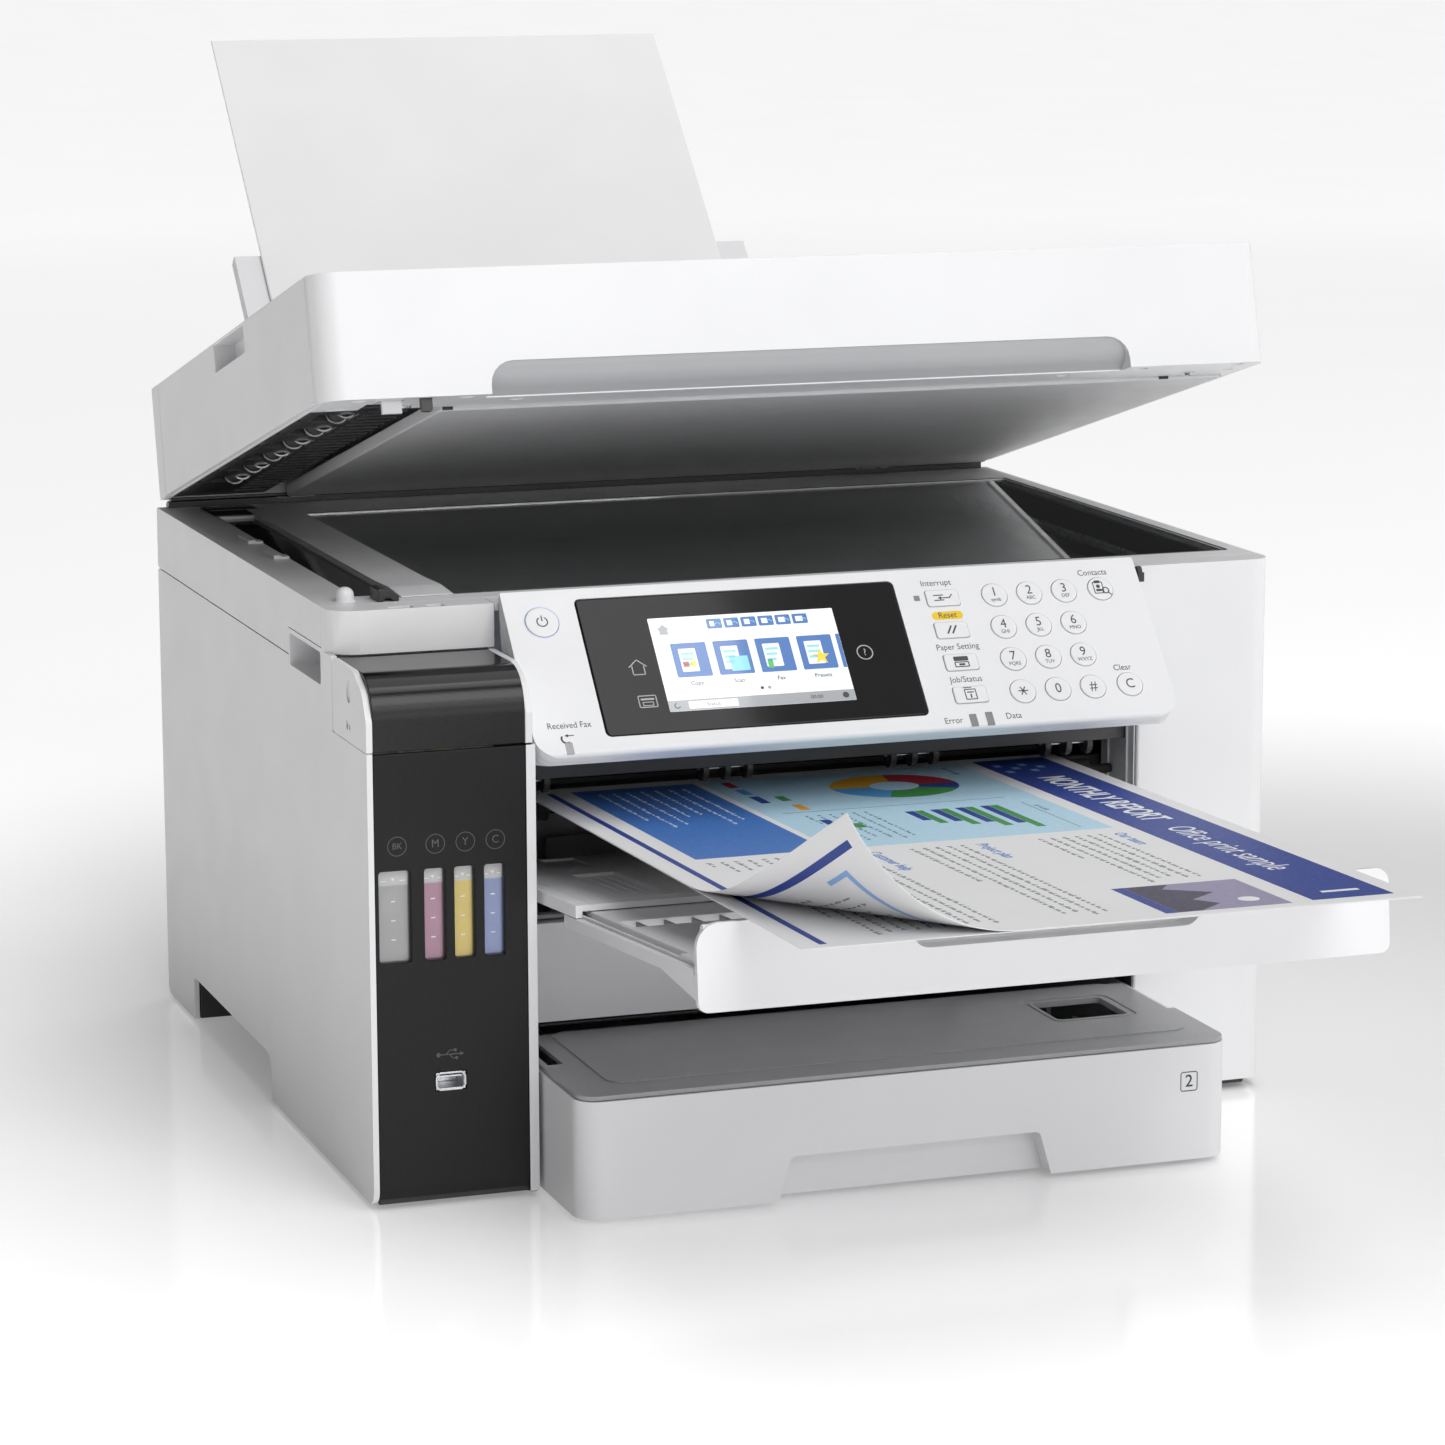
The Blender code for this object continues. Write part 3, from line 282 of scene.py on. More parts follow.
# ---- materials ----
class Finish:
    """A procedural material: a Principled shader and helpers to wire what drives it."""

    def __init__(self, name, colour, roughness, metallic=0.0, specular=0.5):
        self.material = bpy.data.materials.new(name)
        self.material.use_nodes = True
        self.tree = self.material.node_tree
        self.shader = self.tree.nodes["Principled BSDF"]
        self.colour = colour
        self.set("Base Color", (*colour, 1.0))
        self.set("Roughness", roughness)
        self.set("Metallic", metallic)
        self.set("Specular IOR Level", specular)
        self.place = self.tree.nodes.new("ShaderNodeTexCoord").outputs["Object"]

    def set(self, name, value):
        self.shader.inputs[name].default_value = value
        return self

    def node(self, kind, **inputs):
        made = self.tree.nodes.new("ShaderNode" + kind)
        for key, value in inputs.items():
            target = made.inputs[int(key[1:])] if key[0] == "i" and key[1:].isdigit() else made.inputs[key]
            if isinstance(value, bpy.types.NodeSocket):
                self.tree.links.new(value, target)
            else:
                target.default_value = value
        return made

    def math(self, operation, a, b=0.0):
        made = self.node("Math", i0=a, i1=b)
        made.operation = operation
        return made.outputs[0]

    def noise(self, size_mm, detail=2.0, stretch=None):
        """Noise with features of this size; stretch scales the three directions."""
        where = self.place
        if stretch:
            where = self.node("Mapping", Vector=self.place, Scale=stretch).outputs[0]
        made = self.node("TexNoise", Vector=where, Scale=1000.0 / size_mm, Detail=detail)
        return made.outputs["Fac"]

    def ramp(self, fac, low, high, colours):
        made = self.node("ValToRGB", Fac=fac)
        made.color_ramp.elements[0].position = low
        made.color_ramp.elements[1].position = high
        for element, colour in zip(made.color_ramp.elements, colours):
            element.color = (*colour, 1.0)
        return made.outputs[0]

    def spread(self, value, start, end, low=0.0, high=1.0):
        """Turns a value's way from start to end into a number from low to high."""
        return self.node("MapRange", Value=value, i1=start, i2=end, i3=low, i4=high)

    def drive(self, name, source):
        self.tree.links.new(source, self.shader.inputs[name])
        return self

    def tint(self, size_mm=60.0, amount=0.02):
        """Slight drift of the colour over the surface."""
        dark = [c * (1 - amount) for c in self.colour]
        light = [min(1.0, c * (1 + amount)) for c in self.colour]
        return self.drive("Base Color", self.ramp(self.noise(size_mm), 0.35, 0.65, (dark, light)))

    def rough(self, low, high, size_mm=25.0, detail=4.0):
        """Roughness that drifts between two values over the surface."""
        drift = self.spread(self.noise(size_mm, detail), 0.3, 0.7, low, high)
        return self.drive("Roughness", drift.outputs[0])

    def bump(self, height, depth_mm, strength=1.0):
        made = self.node("Bump", Height=height, Distance=depth_mm * MM, Strength=strength)
        return self.drive("Normal", made.outputs["Normal"])

    def grain(self, size_mm=0.45, depth_mm=0.012):
        """The fine spark-eroded texture of a moulding."""
        fine = self.noise(size_mm, 3.0)
        broad = self.noise(size_mm * 60, 1.0)
        return self.bump(self.math("ADD", fine, self.math("MULTIPLY", broad, 3.0)), depth_mm)


def moulded(name, colour, low=0.34, high=0.44, grain=0.45, depth=0.012, tint=0.015, coat=0.0):
    """Satin moulded plastic with spark-eroded grain."""
    made = Finish(name, colour, (low + high) / 2).tint(80.0, tint).rough(low, high).grain(grain, depth)
    made.set("Coat Weight", coat)
    return made.material


def plain(name, colour, roughness, emission=0.0, coat=0.0, drift=0.03):
    """A printed or painted mark, with the slight unevenness of its ink."""
    made = Finish(name, colour, roughness).tint(3.0, drift)
    made.rough(roughness * 0.9, min(1.0, roughness * 1.1), 2.0)
    made.set("Coat Weight", coat)
    if emission:
        made.set("Emission Color", (*colour, 1.0))
        made.set("Emission Strength", emission)
    return made.material


WEAVE = 1.15  # length of one diagonal of the weave


def weave(made, across, rise):
    """Height of a diagonal weave that runs over two directions."""
    pitch = 2 * pi / (WEAVE * MM)
    warp = made.math("SINE", made.math("MULTIPLY", made.math("ADD", across, rise), pitch))
    weft = made.math("SINE", made.math("MULTIPLY", made.math("SUBTRACT", across, rise), pitch))
    return made.math("MULTIPLY", warp, weft)


def twill(name):
    """Black moulding with a fine diagonal weave pressed into it."""
    made = Finish(name, (0.012, 0.012, 0.013), 0.3, specular=0.22)
    axes = made.node("SeparateXYZ", Vector=made.place)
    cell = weave(made, axes.outputs["X"], made.math("ADD", axes.outputs["Z"], axes.outputs["Y"]))
    height = made.spread(cell, -0.5, 0.9).outputs[0]
    made.drive("Base Color", made.ramp(height, 0.2, 1.0, ((0.004, 0.004, 0.0045), (0.028, 0.028, 0.03))))
    made.drive("Roughness", made.spread(height, 0.0, 1.0, 0.42, 0.26).outputs[0])
    made.bump(height, 0.05)
    return made.material


def brushed(name, colour):
    """Metal with a fine grain drawn along x."""
    made = Finish(name, colour, 0.3, metallic=1.0).rough(0.22, 0.38, 4.0)
    made.tint(12.0, 0.05)
    made.bump(made.noise(0.3, 2.0, (0.05, 1.0, 1.0)), 0.01)
    return made.material


WHITE = moulded("white_shell", (0.76, 0.76, 0.77), 0.32, 0.40)
SOFT_WHITE = moulded("soft_white", (0.70, 0.70, 0.715), 0.36, 0.46)
TRAY_WHITE = moulded("tray_white", (0.76, 0.76, 0.775), 0.34, 0.44)
# Painted light: a lighter copy of the tray white for the inner stage. It stands for light that the panel
# above keeps from the stage; the real plastic matches the outer tray.
TRAY_INNER_PAINTED_LIGHT = moulded("tray_inner_painted_light", (0.88, 0.88, 0.89), 0.34, 0.44)
CASSETTE = moulded("cassette_grey_white", (0.76, 0.76, 0.775), 0.38, 0.48, 0.6, 0.02)
LIGHT_GREY = moulded("light_grey", (0.52, 0.52, 0.535), 0.4, 0.5)
MID_GREY = moulded("mid_grey", (0.20, 0.20, 0.207), 0.42, 0.55, 0.7, 0.03)
DARK = moulded("dark_moulding", (0.02, 0.02, 0.022), 0.38, 0.55, 0.6, 0.02, 0.1)
TWILL = twill("black_twill")
STEEL = brushed("brushed_steel", (0.55, 0.56, 0.58))
KEY_WHITE = moulded("key_white", (0.76, 0.76, 0.77), 0.28, 0.36, 0.4, 0.008)


def gloss_black():
    """Polished black with a barely wavy surface."""
    made = Finish("gloss_black", (0.006, 0.006, 0.007), 0.06, specular=0.26).rough(0.05, 0.10, 30.0)
    made.bump(made.noise(14.0, 1.0), 0.004)
    return made.material


def clear_glass():
    """Float glass."""
    made = Finish("scanner_glass_pane", (0.9, 0.93, 0.92), 0.02).rough(0.012, 0.03, 40.0)
    made.set("Transmission Weight", 1.0)
    made.set("IOR", 1.5)
    made.bump(made.noise(90.0, 1.0), 0.003)
    return made.material


GLOSS_BLACK = gloss_black()
PANE = clear_glass()
BLACK_PLASTIC = moulded("black_plastic", (0.015, 0.015, 0.016), 0.3, 0.42, 0.5, 0.012, coat=0.1)
PAPER = moulded("paper", (0.77, 0.77, 0.775), 0.55, 0.65, 0.4, 0.006)


# ---- studio ----
SURROUND_FROM = (0.66, -0.70, 0.24)
SURROUND = (-0.2, 0.85, 0.02, 0.78)  # from, to along that direction, and the glow there
FLOOR_RADIUS, FLOOR_SHIFT = 60.0, (-0.32, 0.0, 0.0)  # metres; the glow is dimmest under the printer
NEAR_GLOW = (0.34, 1.05, 0.12, 0.58)  # from, to in metres off that spot, and the glow there
FAR_GLOW = (1.6, 6.0, 0.0, 0.22)
LAMPS = (  # name, place, aim, size in metres, watts
    ("key_light", (0.4, -2.7, 2.3), (-0.05, 0.0, 0.15), (2.0, 1.6), 35.0),
    ("top_light", (0.45, 0.5, 3.1), (0.1, 0.1, 0.2), (2.2, 2.2), 20.0),
    ("panel_light", (0.25, -1.05, 3.1), (0.1, -0.2, 0.2), (1.4, 0.8), 9.0),
    ("front_light", (0.3, -3.4, 0.75), (0.0, 0.0, 0.15), (1.8, 0.8), 8.5),
    ("rim_light", (2.4, 2.4, 2.2), (0.0, 0.1, 0.2), (1.8, 1.6), 9.0),
)


def studio():
    """White surroundings, a pale floor that glows outside the printer's shadow, and soft lamps."""
    scene = bpy.context.scene
    scene.view_settings.view_transform = "Standard"
    scene.view_settings.look = "None"
    world = bpy.data.worlds.new("studio")
    world.use_nodes = True
    nodes, links = world.node_tree.nodes, world.node_tree.links
    direction = nodes.new("ShaderNodeTexCoord").outputs["Generated"]
    towards = nodes.new("ShaderNodeVectorMath")
    towards.operation = "DOT_PRODUCT"
    towards.inputs[1].default_value = SURROUND_FROM
    links.new(direction, towards.inputs[0])
    strength = nodes.new("ShaderNodeMapRange")
    for index, value in enumerate(SURROUND, 1):
        strength.inputs[index].default_value = value
    links.new(towards.outputs["Value"], strength.inputs[0])
    links.new(strength.outputs[0], nodes["Background"].inputs["Strength"])
    nodes["Background"].inputs["Color"].default_value = (1.0, 1.0, 1.0, 1.0)
    scene.world = world

    form = bmesh.new()
    bmesh.ops.create_circle(form, cap_ends=True, segments=96, radius=FLOOR_RADIUS)
    mesh = bpy.data.meshes.new("floor")
    form.to_mesh(mesh)
    form.free()
    floor = bpy.data.objects.new("floor", mesh)
    scene.collection.objects.link(floor)
    pale = Finish("floor_pale", (0.92, 0.92, 0.92), 0.12, specular=0.32).rough(0.10, 0.14, 300.0)
    pale.bump(pale.noise(2.0, 2.0), 0.004)
    offset = pale.node("Mapping", Vector=pale.place, Location=FLOOR_SHIFT).outputs[0]
    reach = pale.node("VectorMath", i0=offset)
    reach.operation = "LENGTH"
    near = pale.spread(reach.outputs["Value"], *NEAR_GLOW)
    near.interpolation_type = "SMOOTHSTEP"
    far = pale.spread(reach.outputs["Value"], *FAR_GLOW)
    glow = pale.math("ADD", near.outputs[0], far.outputs[0])
    pale.set("Emission Color", (1.0, 1.0, 1.0, 1.0)).drive("Emission Strength", glow)
    mesh.materials.append(pale.material)

    for name, spot, aim, size, power in LAMPS:
        lamp = bpy.data.lights.new(name, "AREA")
        lamp.shape = "RECTANGLE"
        lamp.size, lamp.size_y = size
        lamp.energy = power
        holder = bpy.data.objects.new(name, lamp)
        holder.location = spot
        holder.rotation_euler = (Vector(aim) - Vector(spot)).to_track_quat("-Z", "Y").to_euler()
        scene.collection.objects.link(holder)


def photographer():
    """The camera where the photograph was taken from."""
    view = bpy.data.cameras.new("camera")
    view.lens = 113.35
    view.sensor_width = 36.0
    view.clip_end = 200.0
    camera = bpy.data.objects.new("camera", view)
    turn = Matrix.Rotation(radians(-19.27), 4, "Z") @ Matrix.Rotation(radians(90 - 10.72), 4, "X")
    spot = Matrix.Translation((-806.8 * MM, -2092.7 * MM + DATUM, 654.2 * MM))
    camera.matrix_world = spot @ turn @ Matrix.Rotation(radians(-0.16), 4, "Z")
    bpy.context.scene.collection.objects.link(camera)
    bpy.context.scene.camera = camera


# ---- drawn marks: thin tiles lying on a face, in that face's frame ----
MARK = 0.05


def band(outer, inner, plane, low, high):
    """A closed strip between two outlines with the same number of points."""
    form = bmesh.new()
    lay = LIE[plane]
    rows = [[form.verts.new(lay(u, v, w)) for u, v in line] for line in (outer, inner) for w in (low, high)]
    near_out, far_out, near_in, far_in = rows
    for i in range(len(outer)):
        j = (i + 1) % len(outer)
        form.faces.new((near_out[i], near_out[j], far_out[j], far_out[i]))
        form.faces.new((near_in[j], near_in[i], far_in[i], far_in[j]))
        form.faces.new((far_out[i], far_out[j], far_in[j], far_in[i]))
        form.faces.new((near_out[j], near_out[i], near_in[i], near_in[j]))
    bmesh.ops.recalc_face_normals(form, faces=form.faces)
    return form


def rim(u0, v0, u1, v1, radius, wide, inner_radius, low, high, plane="xy", steps=6):
    """An oblong frame of even width, thickened along the third axis."""
    outer = oblong(u0, v0, u1, v1, radius, steps)
    inner = oblong(u0 + wide, v0 + wide, u1 - wide, v1 - wide, inner_radius, steps)
    return band(outer, inner, plane, low, high)


def tile(u0, v0, u1, v1, z=0.0, radius=0.0, thick=MARK):
    """A thin rectangle lying on a face."""
    return plate(u0, v0, u1, v1, radius, z, z + thick, steps=4)


def hoop(u, v, outer, inner, z=0.0):
    """A thin ring lying on a face."""
    return band(ring(u, v, outer, 40), ring(u, v, inner, 40), "xy", z, z + MARK)


def frame_of(u0, v0, u1, v1, wide, z=0.0, radius=1.0):
    """A thin rectangular line lying on a face."""
    return rim(u0, v0, u1, v1, radius, wide, max(0.01, radius - wide), z, z + MARK, steps=4)


def stroke(points, wide, z=0.0):
    """A pen line of even width through the points."""
    pieces = []
    for (u0, v0), (u1, v1) in zip(points, points[1:]):
        along = Vector((u1 - u0, v1 - v0)).normalized()
        side = Vector((-along.y, along.x)) * wide / 2
        along = along * wide / 2
        ends = [
            (u0 - along.x + side.x, v0 - along.y + side.y),
            (u0 - along.x - side.x, v0 - along.y - side.y),
            (u1 + along.x - side.x, v1 + along.y - side.y),
            (u1 + along.x + side.x, v1 + along.y + side.y),
        ]
        pieces.append(prism(ends, "xy", z, z + MARK))
    return merge(*pieces)


def arc(u, v, radius, start, end, steps=16):
    """Points along part of a circle, between two angles in degrees."""
    turns = [radians(start + (end - start) * i / steps) for i in range(steps + 1)]
    return [(u + radius * cos(t), v + radius * sin(t)) for t in turns]


def word(text, size, u, v, z=0.0, thick=MARK, align="CENTER", squeeze=1.0, heading=0.0, weight=0.0):
    """Letters lying in the frame, with their middle at (u, v)."""
    curve = bpy.data.curves.new("letters", "FONT")
    curve.body = text
    curve.size = size
    curve.align_x = align
    curve.align_y = "CENTER"
    curve.extrude = thick / 2
    curve.offset = weight
    curve.resolution_u = 3
    holder = bpy.data.objects.new("letters", curve)
    bpy.context.scene.collection.objects.link(holder)
    bpy.context.view_layer.update()
    made = bpy.data.meshes.new_from_object(holder.evaluated_get(bpy.context.evaluated_depsgraph_get()))
    bpy.data.objects.remove(holder)
    bpy.data.curves.remove(curve)
    form = from_mesh(made)
    bmesh.ops.remove_doubles(form, verts=form.verts, dist=size * 0.0004)
    form.transform(
        Matrix.Translation((u, v, z + thick / 2))
        @ Matrix.Rotation(radians(heading), 4, "Z")
        @ Matrix.Diagonal((squeeze, 1.0, 1.0, 1.0))
    )
    return form


def upright(form):
    """Turns marks drawn in a flat frame (x, y) into marks on a front face (x, z), facing forwards."""
    form.transform(Matrix.Rotation(radians(90), 4, "X"))
    return form


# ---- ink tank unit ----
TANKS = {
    "black": ("BK", (-252.4, -236.2), (-253.6, -234.6), (0.30, 0.30, 0.305), -242.9),
    "magenta": ("M", (-229.4, -218.8), (-231.6, -217.0), (0.36, 0.18, 0.26), -223.6),
    "yellow": ("Y", (-214.1, -203.8), (-216.0, -202.0), (0.60, 0.46, 0.10), -208.4),
    "cyan": ("C", (-198.9, -188.4), (-201.0, -186.4), (0.19, 0.24, 0.45), -193.1),
}
WINDOW_LOW, WINDOW_HIGH = 125.4, 171.8
TANK_FACE = 4.2
FILL_LEVEL = 163.6


def tank_wall(name, ink):
    """Milky tank plastic: tinted by the ink up to its level, pale above it, with a faint painted glow that
    stands for light through the wall.
    """
    made = Finish(name, ink, 0.22)
    height = made.node("SeparateXYZ", Vector=made.place).outputs["Z"]
    wobble = made.math("MULTIPLY", made.noise(9.0, 2.0), 0.0006)
    surface = made.math("ADD", height, wobble)
    level = made.spread(surface, FILL_LEVEL * MM, (FILL_LEVEL + 1.2) * MM)
    pale = [0.35 + 0.45 * c for c in ink]
    mix = made.ramp(level.outputs[0], 0.0, 1.0, (ink, (0.5, 0.5, 0.51)))
    cloud = made.ramp(made.noise(12.0, 2.0), 0.3, 0.8, ((0.9, 0.9, 0.9), (1.0, 1.0, 1.0)))
    blend = made.tree.nodes.new("ShaderNodeMix")
    blend.data_type = "RGBA"
    blend.blend_type = "MULTIPLY"
    blend.inputs["Factor"].default_value = 1.0
    made.tree.links.new(mix, blend.inputs["A"])
    made.tree.links.new(cloud, blend.inputs["B"])
    made.drive("Base Color", blend.outputs["Result"])
    made.set("Subsurface Weight", 0.25)
    made.set("Subsurface Radius", (0.003, 0.003, 0.003))
    made.set("Coat Weight", 0.5)
    # Painted light: a faint emission in a pale tint makes the wall glow as if lit through it, though nothing
    # inside the tank gives light.
    made.set("Emission Color", (*pale, 1.0))
    made.set("Emission Strength", 0.06)
    return made.material


def ink_unit():
    """Woven black front with four windows on the tanks, the port below them and the hood above."""
    finish_node("tank_front_panel", TWILL, "print_unit", "black_panel", 0.5, 3)
    scale_mark = plain("tank_scale_white", (0.72, 0.72, 0.72), 0.4)
    legend = plain("panel_legend_grey", (0.085, 0.085, 0.09), 0.5)
    scales, letters = [], []
    for ink, (symbol, (left, right), (tank_left, tank_right), tint, centre) in TANKS.items():
        slot = "ink_" + ink
        shell = tank_wall(f"tank_{ink}_plastic", tint)
        body = plate(tank_left, TANK_FACE, tank_right, 112.0, 2.0, 98.4, 226.0, steps=5)
        neck = post(4.2, (tank_left + tank_right) / 2, 30.0, 225.5, 228.6, 36)
        on_unit(f"tank_{ink}", body, shell, slot, 0.8, 3, (f"ink_tank_{ink}",))
        on_unit(f"tank_{ink}_filler_neck", neck, shell, slot, 0.5, 2)
        lens = band(
            oblong(left - 0.9, WINDOW_LOW - 0.9, right + 0.9, WINDOW_HIGH + 0.9, 2.4, 6),
            oblong(left + 0.5, WINDOW_LOW + 0.5, right - 0.5, WINDOW_HIGH - 0.5, 1.4, 6),
            "xz", 2.2, 3.9,
        )
        on_unit(f"window_seal_{ink}", lens, BLACK_PLASTIC, "black_panel", 0.25, 2)
        middle = (left + right) / 2
        half = (right - left) / 2
        front = TANK_FACE - 0.1
        for height in (136.6, 146.2, 155.8):
            sides = (middle - 1.1, height - 0.3, middle + 1.1, height + 0.3)
            scales.append(plate(*sides, 0.2, front, TANK_FACE, "xz", steps=2))
        for sign in (-1, 1):
            dash = sorted((middle + sign * half * 0.78, middle + sign * half * 0.42))
            scales.append(plate(dash[0], 165.9, dash[1], 166.4, 0.2, front, TANK_FACE, "xz", steps=2))
        arrow = [(middle - 1.0, 167.6), (middle + 1.0, 167.6), (middle, 165.9)]
        scales.append(prism(arrow, "xz", front, TANK_FACE))
        size = 4.4 if len(symbol) > 1 else 5.6
        letters.append(word(symbol, size, centre, 184.0, -0.2, squeeze=0.95))
        letters.append(hoop(centre, 184.0, 4.9, 4.55, -0.2))
    on_unit("tank_scales", scales, scale_mark)
    on_unit("tank_letters", [upright(form) for form in letters], legend)

    port_x = -217.3
    trident = [
        stroke([(port_x - 6.2, 77.6), (port_x + 5.0, 77.6)], 0.5, -0.2),
        stroke([(port_x - 2.5, 77.6), (port_x - 0.4, 79.6), (port_x + 1.8, 79.6)], 0.45, -0.2),
        stroke([(port_x - 0.8, 77.6), (port_x + 1.2, 75.6), (port_x + 2.8, 75.6)], 0.45, -0.2),
        prism(ring(port_x - 6.2, 77.6, 1.1, 20), "xy", -0.2, -0.15),
        tile(port_x + 1.6, 78.9, port_x + 3.0, 80.3, -0.2),
        prism(ring(port_x + 3.0, 75.6, 0.8, 20), "xy", -0.2, -0.15),
        prism([(port_x + 4.8, 78.6), (port_x + 4.8, 76.6), (port_x + 6.8, 77.6)], "xy", -0.2, -0.15),
    ]
    on_unit("port_symbol", [upright(form) for form in trident], legend)
    finish_node("usb_port", STEEL, "print_unit", "steel", 0.25)
    trim = band(
        rounded([(-225.1, 61.6, 1.2), (-223.0, 59.3, 1.2), (-211.6, 59.3, 1.2), (-209.5, 61.6, 1.2),
                 (-209.5, 66.4, 1.2), (-211.6, 68.7, 1.2), (-223.0, 68.7, 1.2), (-225.1, 66.4, 1.2)], 4),
        rounded([(-224.3, 62.0, 1.0), (-222.6, 60.1, 1.0), (-212.0, 60.1, 1.0), (-210.3, 62.0, 1.0),
                 (-210.3, 66.0, 1.0), (-212.0, 67.9, 1.0), (-222.6, 67.9, 1.0), (-224.3, 66.0, 1.0)], 4),
        "xz", 0.15, 1.5,
    )
    on_unit("port_trim", trim, STEEL, "steel", 0.12, 2)
    for ink in TANKS:
        tint = [value * 0.6 for value in TANKS[ink][3]]
        plastic = moulded(f"cap_{ink}_plastic", tint, 0.35, 0.45)
        finish_node(f"tank_cap_{ink}", plastic, f"cap_{ink}", f"ink_{ink}", 0.3)
    hood()


HOOD_FRONT, HOOD_BACK, HOOD_LOW, HOOD_TOP = 0.6, 64.3, 230.9, 267.4
HOOD_RADIUS = 21.0


def hood_profile(inset, skin):
    """Side profile of the hood: an upright skirt that rolls into a flat top."""
    front, back, low, top = HOOD_FRONT + inset, HOOD_BACK, HOOD_LOW, HOOD_TOP - inset
    radius = HOOD_RADIUS - inset
    return rounded([
        (front, low, 0.4), (front, top, radius), (back, top, 0.6), (back, top - skin, 0),
        (front + skin, top - skin, radius - skin), (front + skin, low, 0.4),
    ], 20)


def hood():
    """Black lid over the tanks, between two white cheeks."""
    sheen = twill_gloss()
    skin = prism(hood_profile(0.0, 2.4), "yz", -254.2, -177.2)
    on_hood("hood_skin", skin, sheen, "black_gloss", 0.35, 3, ("tank_cover",))
    lining = prism(hood_profile(2.5, 1.4), "yz", -253.6, -178.0)
    on_hood("hood_lining", lining, BLACK_PLASTIC, "dark_plastic", 0.3, 2)
    sides = [
        (0.4, 230.6, 1.0), (0.4, 246.0, 4.0), (7.6, 259.6, 12.0), (24.0, 267.5, 14.0), (64.4, 267.5, 2.0),
        (64.4, 230.6, 3.0),
    ]
    outline = rounded(sides, 10)
    cheek = prism(outline, "yz", -257.4, -254.3)
    dimple = post(1.0, 0, 0, -2.0, 2.0, 48)
    dimple.transform(
        Matrix.Translation((-257.6, 33.0, 256.2))
        @ Matrix.Rotation(radians(90), 4, "Y")
        @ Matrix.Diagonal((6.0, 4.6, 0.5, 1.0))
    )
    cheek = carve(cheek, dimple)
    on_hood("hood_cheek_left", cheek, WHITE, "body_white", 0.6, 3)
    right = prism(outline, "yz", -177.1, -173.4)
    on_hood("hood_cheek_right", right, WHITE, "body_white", 0.6, 3)
    lock = [
        plate(34.6, 236.6, 37.4, 239.4, 0.4, -257.42, -257.38, "yz", steps=3),
        band(ring(36.0, 239.8, 1.3, 24), ring(36.0, 239.8, 0.9, 24), "yz", -257.42, -257.38),
        plate(30.6, 236.8, 32.2, 239.6, 0.4, -257.42, -257.38, "yz", steps=3),
    ]
    on_hood("hood_lock_symbol", lock, plain("symbol_grey", (0.25, 0.25, 0.26), 0.5))
    for side, x in (("left", -255.0), ("right", -176.0)):
        pin = bar(2.2, (x - 1.5, 60.0, 265.0), (x + 1.5, 60.0, 265.0))
        on_hood(f"hood_pin_{side}", pin, STEEL, "steel", 0.3, 2)


def twill_gloss():
    """Piano black whose weave shows only where the lid turns upright."""
    made = Finish("hood_gloss", (0.01, 0.01, 0.011), 0.12, specular=0.34)
    axes = made.node("SeparateXYZ", Vector=made.place)
    upright_part = made.spread(axes.outputs["Z"], 262.0 * MM, 250.0 * MM).outputs[0]
    height = made.math("MULTIPLY", weave(made, axes.outputs["X"], axes.outputs["Z"]), upright_part)
    made.drive("Base Color", made.ramp(height, 0.0, 1.0, ((0.004, 0.004, 0.0045), (0.022, 0.022, 0.024))))
    made.rough(0.10, 0.16, 20.0)
    made.bump(height, 0.02)
    return made.material


# ---- control panel: x right, y up the slope, z out of the face ----
PANEL_LEFT, PANEL_RIGHT, PANEL_LOW, PANEL_DEPTH = -171.5, 173.5, -97.0, 16.0
SCREEN = (-98.5, -76.0, 0.5, -21.0)
KEY_COLUMNS, KEY_ROWS = (90.8, 110.3, 129.8, 150.4), (-19.0, -38.5, -58.0, -77.5)
MODE_X, MODE_HALF = 62.0, (9.0, 4.8)
KEY_R, POWER_R, POWER_AT = 6.9, 8.6, (-153.2, -19.3)
ROUND_KEYS = {
    "key_1": (0, 0, "1", "symb"), "key_2": (1, 0, "2", "ABC"), "key_3": (2, 0, "3", "DEF"),
    "key_contacts": (3, 0, "", ""),
    "key_4": (0, 1, "4", "GHI"), "key_5": (1, 1, "5", "JKL"), "key_6": (2, 1, "6", "MNO"),
    "key_7": (0, 2, "7", "PQRS"), "key_8": (1, 2, "8", "TUV"), "key_9": (2, 2, "9", "WXYZ"),
    "key_star": (0, 3, "*", ""), "key_0": (1, 3, "0", ""), "key_hash": (2, 3, "#", ""),
    "key_clear": (3, 3, "C", ""),
}
KEY_TOP = 0.74  # height of the key tops above the panel's face
KEY_GAP = 0.3  # clearance round a key


def lathe(profile, u, v, steps=56):
    """A turned form from (radius, height) points, closed on its own axis at (u, v)."""
    form = bmesh.new()
    rows = []
    for radius, height in profile:
        if radius <= 0:
            rows.append([form.verts.new((u, v, height))])
        else:
            rows.append([form.verts.new((x, y, height)) for x, y in ring(u, v, radius, steps)])
    for low, high in zip(rows, rows[1:]):
        for i in range(steps):
            j = (i + 1) % steps
            corners = [low[i % len(low)], low[j % len(low)], high[j % len(high)], high[i % len(high)]]
            form.faces.new(list(dict.fromkeys(corners)))
    bmesh.ops.recalc_face_normals(form, faces=form.faces)
    return form


def keycap(radius, u, v, top):
    """A round key with a rolled edge and a faint crown."""
    turns = [radians(angle) for angle in (90, 70, 50, 30, 10)]
    roll = [(radius - 0.55 + 0.55 * sin(turn), top - 0.67 + 0.55 * cos(turn)) for turn in turns]
    crown = [(radius * f, top - 0.12 * f * f) for f in (0.75, 0.5, 0.25)]
    return lathe([(0, -2.5), (radius, -2.5), *roll, *crown, (0, top)], u, v)


